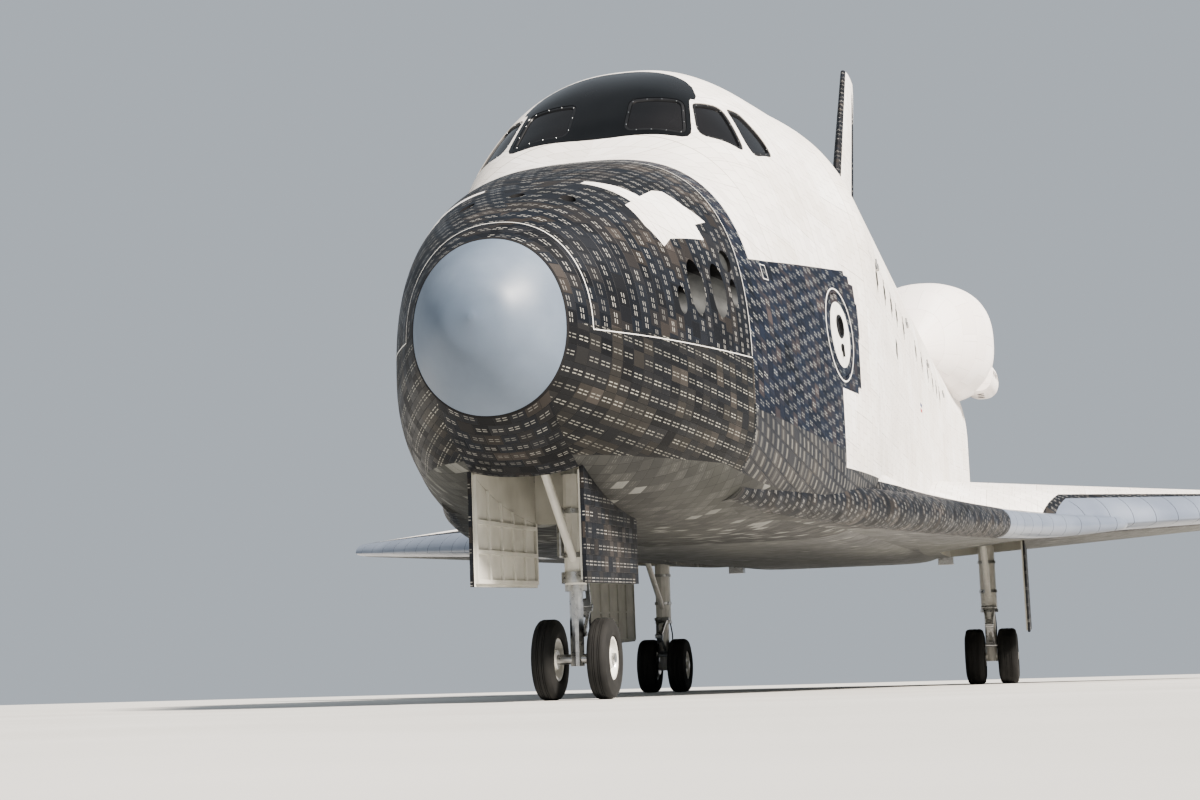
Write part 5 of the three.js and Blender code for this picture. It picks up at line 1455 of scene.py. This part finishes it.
def elevonRoom():
    start = hingePoint(hingeIn[0] - hingeGap)
    length = (hingePoint(hingeOut[0] + hingeGap) - start).length
    slab = prism([
        (0, -lipShare * hingeIn[2]), (length, -lipShare * hingeOut[2]), (length, 6), (0, 6)
    ], hingeLine, yAxis, hingeRise, -2, 2, start)
    return carve(slab, hingeNose(hingeIn[0] - hingeGap, hingeOut[0] + hingeGap, hingeGap), "UNION")


trim = skin("trim", 0.02, stations["base"] + 0.04, -0.0005, step=0.16)
elevonBrackets = [3.6, 7.2, 8.5, 11.0]

wingAll = carve(wingBlank(), gloveBlank(), "UNION")
wing = carve(copied(wingAll, "wing"), elevonRoom())
x0, x1, y0, y1, top = mainWell.values()
carve(wing, box(x0, x1, y0, y1, -far, top, 3))
for x in elevonBrackets:
    reach = hingeRadius(x) + hingeGap + 0.04
    carve(wing, hingeBlock(hingePoint(x), ((-half, half), (-reach, 0), (-eye, eye)), 3), "UNION")
carve(wing, trim, keepTool=True)
carve(wing, edgeTool(0.0003))
# Room for the aft attach fitting
carve(wing, box(2.259, 2.6005, 27.3095, 27.6105, -0.046, 0.4205))
edgeStrip = split(wing, edgeTool(edgePanels["strip"]), "edgeStrip")
settleTwins(edgeStrip, "edgeStrip", "airframe", [blackTile] * 3 + [liner])
# The glove's underside matches the belly beside it
wingZones = wing.data.attributes["zone"].data
rezone(wing, 4, lambda face: wingZones[face.index].value == 0 and face.center.y < stations["bayFront"])
settleTwins(
    wing, "wing", "airframe", [bellyTile, whiteTile, blackTile, liner, charcoalBellyTile],
    ["wing_left"],
)

edge = carve(wingAll, edgeTool(0), "INTERSECT")
rezone(edge, 0)
# Seams between the panels of the leading edge
path = [(smoothColumn(gloveRows, 1, aft), aft) for aft in np.linspace(16.0, 20.0, 17)]
path += [(x, edgeAft(x)) for x in np.linspace(5.6, wingTip, 30)]
lengths = runLengths(path)
slits = []
slitSpans = ((-0.005, 0.005), (-0.2, 0.42), (-1, 1))
for s in np.linspace(0.55, lengths[-1] - 0.35, edgePanels["seams"]):
    x, aft = (float(np.interp(s, lengths, [p[k] for p in path])) for k in (0, 1))
    dx, dy = (float(np.interp(s + 0.1, lengths, [p[k] for p in path])) - w for k, w in ((0, x), (1, aft)))
    along = Vector((dx, dy, 0)).normalized()
    inward = Vector((-along.y, along.x, 0))
    slits.append(blockAt(Vector((x, aft, 0.5)), along, inward, zAxis, slitSpans, 1))
carve(edge, joined(slits))
settleTwins(edge, "leadingEdge", "airframe", [greyCarbon, sootBlack], ["leading_edge_left"])

for name, x0, x1 in (
    ("inboard", hingeIn[0], elevonSplit - hingeGap / 2),
    ("outboard", elevonSplit + hingeGap / 2, hingeOut[0]),
):
    start = hingePoint(x0)
    length = (hingePoint(x1) - start).length
    elevon = carve(wingBlank(), hingeBlock(start, ((0, length), (0, 6), (-2, 2))), "INTERSECT")
    carve(elevon, mapFlat(hingeNose(x0, x1, 0)), "UNION")
    for x in elevonBrackets:
        if x0 < x < x1:
            carve(elevon, hingeBlock(hingePoint(x), ((-slot, slot), (-1, slot + eye), (-1, 1))))
    node = f"elevon_{name}_left"
    settleTwins(elevon, f"elevon{name.title()}", node, [bellyTile, whiteTile], [node])
print("wings made")

# Fin, rudder post and panels
finRoot = {"z": 5.93, "front": 27.26, "back": 33.218, "half": 0.29}
finTip = {"z": 14.013, "front": 34.56, "back": 37.236, "half": 0.12}
finShape = np.array([[0, 0.05], [0.012, 0.3], [0.06, 0.58], [0.18, 0.86], [0.38, 1], [0.56, 1], [1, 0.13]])
rudderLow, rudderHigh = Vector((0, 32.222, 8.56)), Vector((0, 35.732, 13.604))
rudderRadii = (0.214, 0.122)
rudderLine = (rudderHigh - rudderLow).normalized()
rudderLength = (rudderHigh - rudderLow).length
rudderBack = rudderLine.cross(xAxis)
if rudderBack.y < 0:
    rudderBack = -rudderBack


def finBlank():
    chords = [0, 0.004, 0.012, 0.03, 0.06, 0.1, 0.14, 0.18, 0.25, 0.31, 0.38, 0.47, 0.56, 0.7, 0.8, 0.9, 1]
    # Rounded ahead of its flat middle, and straight behind
    thick = [smoothColumn(finShape, 1, c) for c in chords if c < 0.56]
    thick += [np.interp(c, finShape[:, 0], finShape[:, 1]) for c in chords if c >= 0.56]
    rings, uvs = [], []
    for z in np.linspace(finRoot["z"] - 0.3, finTip["z"], 18):
        share = (z - finRoot["z"]) / (finTip["z"] - finRoot["z"])
        start, end, half = (finRoot[k] + share * (finTip[k] - finRoot[k]) for k in ("front", "back", "half"))
        port = [(half * t, start + c * (end - start), z) for c, t in zip(chords, thick)]
        ring = port + [(-x, y, h) for x, y, h in reversed(port)]
        rings.append(ring + ring[:1])
        uvs.append([(p[1], p[2]) for p in rings[-1]])
    band = [2 if c < 0.06 else 0 for c in chords[:-1]]
    zones = band + [0] + band[::-1] + [2]
    return loft("finBlank", rings, uvs, zones)


def rudderSlab(points, low, high):
    return prism(points, rudderLine, rudderBack, xAxis, low, high, rudderLow)


fin = carve(finBlank(), trim, keepTool=True)
carve(fin, box(-far, far, stations["base"], 2 * far, -far, finRoot["z"]))
label, x, aft, z, pitch, toe, dome = engines[0]
topEngine, topLine = Vector((x, aft, z)), engineLine(pitch, toe)
carve(fin, rod(topEngine + topLine * 1.5, topEngine + topLine * 4.3, 0.88, 1.42, 64))
lowRadius, highRadius = rudderRadii
before, beyond = -0.014, rudderLength + 0.014
carve(fin, rudderSlab([
    (before, -lowRadius - hingeGap), (beyond, -highRadius - hingeGap), (beyond, 6), (before, 6),
], -1, 1))
settle(fin, "verticalFin", "airframe", [whiteTile, whiteTile, blackTile], ["vertical_fin"])
post = rod(rudderLow, rudderHigh, lowRadius - 0.003, highRadius - 0.003, 64)
settle(post, "rudderPost", "rudder", [steel], ["rudder_post"])
panelShare = 0.84  # where a panel starts behind the hinge line, as a share of the post's radius
panel = carve(finBlank(), rudderSlab([
    (0, panelShare * lowRadius), (rudderLength, panelShare * highRadius), (rudderLength, 3), (0, 3)
], 0.004, 1), "INTERSECT")
over = rudderLine * 0.01
carve(panel, rod(rudderLow - over, rudderHigh + over, lowRadius - 0.0015, highRadius - 0.0015, 64))
rezone(panel, 1, lambda face: face.center.x < 0.006)
settleTwins(
    panel, "rudderPanel", "rudder_panel_left", [blackTile, sootBlack], ["rudder_panel_left"]
)
print("fin made")

# Pods on the aft shoulders
podRows = np.array([
    # aft, x and z of the middle, half width, half height
    [27.42, 1.85, 5.05, 0.26, 0.24],
    [27.9, 1.88, 5.2, 0.64, 0.64],
    [28.8, 1.95, 5.45, 1.09, 1.13],
    [30.0, 2.08, 5.58, 1.4, 1.4],
    [31.4, 2.2, 5.62, 1.53, 1.47],
    [32.5, 2.2, 5.6, 1.48, 1.4],
    [33.0, 2.18, 5.55, 1.26, 1.18],
    [33.25, 2.16, 5.5, 0.96, 0.86],
])
# The thruster housing at the pod's rear, in the same columns
housingRows = np.array([
    [31.5, 3.24, 4.8, 0.4, 0.42],
    [33.3, 3.32, 4.79, 0.43, 0.43],
    [33.731, 3.31, 4.8, 0.36, 0.37],
])
podNozzle = {"x": 2.235, "aft": 32.563, "z": 5.56, "pitch": 15.8, "toe": 6.5}
podThrusters = {
    "side": (3.6, 32.0, 4.86), "sideSpacing": 0.34,
    "down": (3.3, 32.2, 4.5), "downSpacing": 0.36,
    "aft": ((3.16, 4.95), (3.42, 4.95), (3.16, 4.68), (3.42, 4.68)),
}
smallBell = np.array([[0.62, 0.25], [0.9, 0.36], [1.3, 0.47], [1.85, 0.555]])


def ovals(rows, sides, count):
    meanRadius, power = 1.35, 2.4
    rings, uvs = [], []
    for aft in np.linspace(rows[0, 0], rows[-1, 0], count):
        x, z, halfWidth, halfHeight = smoothRow(rows, aft)
        turns = np.linspace(0, 2 * math.pi, sides + 1)
        rings.append([
            (x + bent(math.cos(t), power) * halfWidth, aft, z + bent(math.sin(t), power) * halfHeight)
            for t in turns
        ])
        uvs.append([(meanRadius * 2 * math.pi * k / sides, aft) for k in range(sides + 1)])
    return loft("ovals", rings, uvs)


nozzleAt = Vector((podNozzle["x"], podNozzle["aft"], podNozzle["z"]))
nozzleLine = engineLine(podNozzle["pitch"], podNozzle["toe"])
pod = carve(ovals(podRows, 96, 60), ovals(housingRows, 48, 20), "UNION")
carve(pod, trim, keepTool=True)
carve(pod, box(-far, 0.96, stations["base"], 2 * far, -far, far))
carve(pod, box(-far, finRoot["half"] + 0.06, -far, 2 * far, -far, far))
socket = smallBell[0, 1] + 0.0003
carve(pod, rod(nozzleAt, nozzleAt + nozzleLine, socket, sides=64, zone=1))
mouth, behind = nozzleAt + nozzleLine * 0.54, nozzleAt + nozzleLine * 2
carve(pod, rod(mouth, behind, socket + 0.05, socket + 0.4, 64, zone=1))
# Thruster openings in the housing: sideways, down and aft
for k in range(4):
    at = Vector(podThrusters["side"]) + yAxis * podThrusters["sideSpacing"] * k
    carve(pod, rod(at + xAxis * 0.3, at - xAxis * 0.02, 0.12, 0.09, 32, zone=1))
for k in range(3):
    at = Vector(podThrusters["down"]) + yAxis * podThrusters["downSpacing"] * k
    carve(pod, rod(at - zAxis * 0.3, at + zAxis * 0.02, 0.11, 0.08, 32, zone=1))
for x, z in podThrusters["aft"]:
    carve(pod, rod((x, 34.0, z), (x, 33.6, z), 0.095, 0.075, 32, zone=1))
settleTwins(pod, "enginePod", "airframe", [podBlanket, sootBlack], ["engine_pod_left"])

nozzleProfile = [(0.01, 0), (0.01, 0.25), (0.62, 0.25)]
for k, along in enumerate(np.linspace(0.64, 1.84, 40)):
    hoop = 0.01 if k % 6 == 3 else 0
    nozzleProfile.append((along, smoothColumn(smallBell, 1, along) + hoop))
nozzleProfile += [(1.85, 0.555), (1.85, 0.541)]
nozzleProfile += [(a, smoothColumn(smallBell, 1, a) - 0.014) for a in np.linspace(1.82, 0.9, 20)]
nozzleProfile += [(0.66, 0.09), (0.66, 0)]
nozzle = turned(nozzleProfile, nozzleAt, nozzleLine, 72)
settleTwins(nozzle, "podNozzle", "airframe", [bellMetal], ["pod_nozzle_left"])
print("pods made")

# Landing gear, drawn where it stands on the ground
mainGear = {"x": 3.455, "y": 5.49, "tyreR": 0.565, "tyreW": 0.406, "wheelAt": 0.33, "axleR": 0.075,
            "rimShare": 0.53, "rimWidthShare": 0.36}
noseGear = {"y": -15.01, "tyreR": 0.406, "tyreW": 0.224, "wheelAt": 0.285, "axleR": 0.05,
            "rimShare": 0.53, "rimWidthShare": 0.36}


# A closed profile, the same on both sides of a wheel's middle
def bothSides(profile):
    ring = [(-a, b) for a, b in profile] + [(a, b) for a, b in reversed(profile)]
    return ring + ring[:1]


def wheelTyre(gear, at):
    r, half = gear["tyreR"], gear["tyreW"] / 2
    rimR, rimHalf = gear["rimShare"] * r, gear["rimWidthShare"] * gear["tyreW"]
    # Shares of the half width and of the radius
    side = [(0.88, 0.56), (0.985, 0.63), (1.0, 0.72)]
    side += [(0.9, 0.86), (0.86, 0.93), (0.72, 0.975), (0.56, 0.994), (0.44, 1.0)]
    for g in (0.32, 0.16):
        side += [(g + 0.025, 1.0), (g + 0.022, 0.978), (g - 0.022, 0.978), (g - 0.025, 1.0)]
    tyre = [(rimHalf * 0.99, rimR * 0.9), (rimHalf, rimR)] + [(a * half, b * r) for a, b in side]
    return turned(bothSides(tyre), at, xAxis, 96)


def wheelHub(gear, at):
    bore = gear["axleR"] + 0.0008
    rimR, rimHalf = gear["rimShare"] * gear["tyreR"], gear["rimWidthShare"] * gear["tyreW"]
    face = [(0.96, bore), (0.96, bore * 1.9), (0.45, bore * 2.2), (0.4, rimR * 0.72)]
    face += [(0.9, rimR * 0.86), (1.04, rimR * 0.88), (1.06, rimR), (0.98, rimR * 1.01)]
    hubs = [turned(bothSides([(rimHalf * a, b) for a, b in face]), at, xAxis, 72)]
    tie = xAxis * rimHalf * 0.5
    for k in range(9):
        t = 2 * math.pi * k / 9
        spot = at + (yAxis * math.cos(t) + zAxis * math.sin(t)) * rimR * 0.58
        hubs.append(rod(spot - tie, spot + tie, 0.04 * gear["tyreR"], sides=12))
    return joined(hubs)


def addWheel(gear, x, name, body, node):
    at = Vector((x, gear["y"], gear["tyreR"]))
    settle(wheelTyre(gear, at), name + "Tyre", body, [rubber], [node], groundPlace)
    settle(wheelHub(gear, at), name + "Hub", body, [enamel], (), groundPlace)


for side, word in ((1, "left"), (-1, "right")):
    title = word.title()
    addWheel(noseGear, side * noseGear["wheelAt"], f"noseWheel{title}", "nose_wheels", f"nose_wheel_{word}")
    for place, reach in (("outer", 1), ("inner", -1)):
        x = side * (mainGear["x"] + reach * mainGear["wheelAt"])
        name, node = f"mainWheel{place.title()}{title}", f"main_wheel_{place}_{word}"
        addWheel(mainGear, x, name, f"main_wheels_{word}", node)
for node in ("nose_gear_leg", "main_gear_leg_left", "main_gear_leg_right"):
    bpy.data.objects[node].data.materials[0] = enamel
bpy.data.objects["nose_steering_fork"].data.materials[0] = steel


# A round hose or pipe along points
def pipe(points, radius, sides=12):
    points = [Vector(p) for p in points]
    rings, uvs, run = [], [], 0.0
    side = around(points[1] - points[0])[0]
    for k, point in enumerate(points):
        line = (points[min(k + 1, len(points) - 1)] - points[max(k - 1, 0)]).normalized()
        side = (side - line * side.dot(line)).normalized()
        other = line.cross(side)
        run += (point - points[k - 1]).length if k else 0
        turns = [2 * math.pi * t / sides for t in range(sides + 1)]
        rings.append([point + (side * math.cos(t) + other * math.sin(t)) * radius for t in turns])
        uvs.append([(t * radius, run) for t in turns])
    return loft("pipe", rings, uvs)


# A smooth run through points
def curve(points, steps=6):
    made = []
    points = [Vector(p) for p in points]
    for k in range(len(points) - 1):
        a, b = points[max(k - 1, 0)], points[k]
        c, d = points[k + 1], points[min(k + 2, len(points) - 1)]
        for t in (s / steps for s in range(steps)):
            made.append(0.5 * (b * 2 + (c - a) * t + (a * 2 - b * 5 + c * 4 - d) * t ** 2
                               + (b * 3 - a - c * 3 + d) * t ** 3))
    return made + [points[-1]]


# A four-sided outline, from a half width at one end to another at the other
def wedge(start, end, startHalf, endHalf):
    return [(start, -startHalf), (end, -endHalf), (end, endHalf), (start, startHalf)]


# Scissor link between sleeve and piston, wide at the leg and narrow at the knee
def scissor(start, end, wide, narrow, thick):
    start, end = Vector(start), Vector(end)
    line = (end - start).normalized()
    length = (end - start).length
    plan = wedge(-0.03, length + 0.02, wide / 2, narrow / 2)
    plate = prism(plan, line, xAxis, line.cross(xAxis), -thick / 2, thick / 2, start)
    window = wedge(length * 0.2, length * 0.72, wide * 0.22, narrow * 0.2)
    carve(plate, prism(window, line, xAxis, line.cross(xAxis), -1, 1, start))
    pins = [rod(at - xAxis * reach, at + xAxis * reach, thick * 0.8, sides=20)
            for at, reach in ((start, wide * 0.6), (end, narrow * 0.7))]
    return joined([plate, *pins])


# A clamp round a leg, from one height beside a place to another
def collar(at, low, high, inner, outer):
    return turned([(low, inner), (low, outer), (high, outer), (high, inner), (low, inner)], at, zAxis, 48)


def mainGearDetail():
    x, y = mainGear["x"], mainGear["y"]
    links = [
        scissor((x, y - 0.19, 1.56), (x, y - 0.52, 1.2), 0.26, 0.12, 0.04),
        scissor((x, y - 0.13, 0.79), (x, y - 0.52, 1.17), 0.2, 0.11, 0.04),
    ]
    links += [collar(Vector((x, y, z)), -0.03, 0.03, 0.166, 0.185) for z in (1.5, 1.9, 2.5)]
    brakeDrum = [
        (0.118, 0.08), (0.118, 0.19), (0.13, 0.2), (0.172, 0.2), (0.178, 0.19), (0.178, 0.08), (0.118, 0.08)
    ]
    axle = Vector((x, y, mainGear["tyreR"]))
    links += [turned(brakeDrum, axle, xAxis * side, 48) for side in (1, -1)]
    settleTwins(joined(links), "mainGearLinks", "airframe", [steel], (), groundPlace)
    hoseRun = [
        # out from the leg, behind it, height
        (0.08, 0.19, 2.9), (0.09, 0.2, 2.2), (0.09, 0.2, 1.6), (0.11, 0.36, 1.2), (0.1, 0.26, 0.8),
        (0.14, 0.1, 0.68),
    ]
    hoses = [pipe(curve([(x + side * a, y + b, z) for a, b, z in hoseRun]), 0.013) for side in (1, -1)]
    settleTwins(joined(hoses), "mainGearHoses", "airframe", [rubber], (), groundPlace)


def noseGearDetail():
    y = noseGear["y"]
    links = [
        scissor((0, y + 0.15, 1.2), (0, y + 0.4, 0.95), 0.2, 0.1, 0.03),
        scissor((0, y + 0.085, 0.66), (0, y + 0.4, 0.92), 0.14, 0.09, 0.03),
        collar(Vector((0, y, 1.22)), -0.05, 0.06, 0.1165, 0.145),
    ]
    settle(joined(links), "noseGearLinks", "nose_steering", [steel], (), groundPlace)
    bands = [collar(Vector((0, y, z)), -0.025, 0.025, 0.116, 0.132) for z in (1.45, 1.9, 2.3)]
    for side in (1, -1):
        bands.append(rod((side * 0.16, y + 0.02, 1.45), (side * 0.16, y + 0.02, 1.95), 0.035, sides=24))
        bands.append(rod((side * 0.1, y + 0.02, 1.45), (side * 0.17, y + 0.02, 1.45), 0.02, sides=16))
    settle(joined(bands), "noseGearFittings", "airframe", [steel], (), groundPlace)
    hoses = [pipe(curve([
        (side * 0.07, y + 0.12, 2.4), (side * 0.08, y + 0.13, 1.9), (side * 0.06, y + 0.14, 1.4),
    ]), 0.01) for side in (1, -1)]
    settle(joined(hoses), "noseGearHoses", "airframe", [rubber], (), groundPlace)


mainGearDetail()
noseGearDetail()

noseDoor = {"foot": -0.56, "ribSpacing": 0.28}
mainDoor = {"foot": -1.5, "ribSpacing": 0.6}
gearDoor = {"gap": 0.002, "thick": 0.04, "top": 0.9, "ribHalf": 0.02, "ribRise": 0.028}


# A door hangs open beside its well: tiles outside, liner and stiffening ribs inside
def hungDoor(look, inner, start, end, skinCut):
    inner += gearDoor["gap"]
    foot, half, crest = look["foot"], gearDoor["ribHalf"], inner - gearDoor["ribRise"]
    panel = box(inner, inner + gearDoor["thick"], start, end, foot, gearDoor["top"])
    for z in (foot + 0.05 + k * look["ribSpacing"] for k in range(3)):
        carve(panel, box(crest, inner + half, start + 0.04, end - 0.04, z - half, z + half), "UNION")
    for y in np.linspace(start + 0.06, end - 0.06, 6):
        carve(panel, box(crest, inner + half, y - half, y + half, foot + 0.03, gearDoor["top"]), "UNION")
    carve(panel, skinCut)
    rezone(mapFlat(panel), 0)
    return rezone(panel, 1, lambda face: face.normal.x < -0.5 or face.center.x < inner - 0.001)


wingSkin = carve(wingBlank(), gloveBlank(), "UNION")
carve(wingSkin, trim, keepTool=True)
nosePanel = hungDoor(noseDoor, noseWell["halfWidth"], noseWell["front"], noseWell["back"], trim)
mainPanel = hungDoor(mainDoor, mainWell["x1"], mainWell["y0"], mainWell["y1"], wingSkin)
for panel, word in ((nosePanel, "nose"), (mainPanel, "main")):
    settleTwins(
        panel, word + "GearDoor", "airframe", [blackTile, liner], [word + "_gear_door_left"],
        hungPlace,
    )
print("gear made")

# Camera just above the floor, ahead of the nose and a little to port, looking up as in the photograph
cameraPlace = {"x": 4.635, "y": -32.596, "height": 0.1, "lens": 53.5, "turn": 13.84, "tilt": 9.21,
               "roll": -1.5}
cameraData = bpy.data.cameras.new("camera")
cameraData.lens = cameraPlace["lens"]
cameraData.sensor_width = 36
cameraData.clip_end = 2000
camera = bpy.data.objects.new("camera", cameraData)
bpy.context.scene.collection.objects.link(camera)
camera.location = (cameraPlace["x"], cameraPlace["y"], cameraPlace["height"])
camera.rotation_euler = (
    Matrix.Rotation(math.radians(cameraPlace["turn"]), 3, "Z")
    @ Matrix.Rotation(math.radians(90 + cameraPlace["tilt"]), 3, "X")
    @ Matrix.Rotation(math.radians(cameraPlace["roll"]), 3, "Z")
).to_euler()
bpy.context.scene.camera = camera

# Pale floor
floorMaterial = plainMaterial("paleConcrete", {
    "tones": [(0.0, "#c9c8c4"), (1.0, "#d6d5d1")], "roughness": 0.75, "patch": 0.4, "grain": 8.0,
})
floor = box(-400, 400, -400, 400, -0.05, -0.0005)
floor.name = "floor"
floor.data.materials.append(floorMaterial)

# Soft daylight-coloured studio light, strongest from high on the port side ahead
world = bpy.data.worlds.new("studio")
bpy.context.scene.world = world
world.use_nodes = True
backdrop = world.node_tree.nodes["Background"]
backdrop.inputs["Color"].default_value = hexLinear("#dbe3ec")
backdrop.inputs["Strength"].default_value = 0.58
keyData = bpy.data.lights.new("key", "SUN")
keyData.energy = 9.5
keyData.angle = math.radians(9)
keyData.color = hexLinear("#fff5ea")[:3]
key = bpy.data.objects.new("key", keyData)
key.rotation_euler = (math.radians(50), 0, math.radians(58))
bpy.context.scene.collection.objects.link(key)
bpy.context.scene.view_settings.look = "AgX - Medium High Contrast"

print("scene ready")
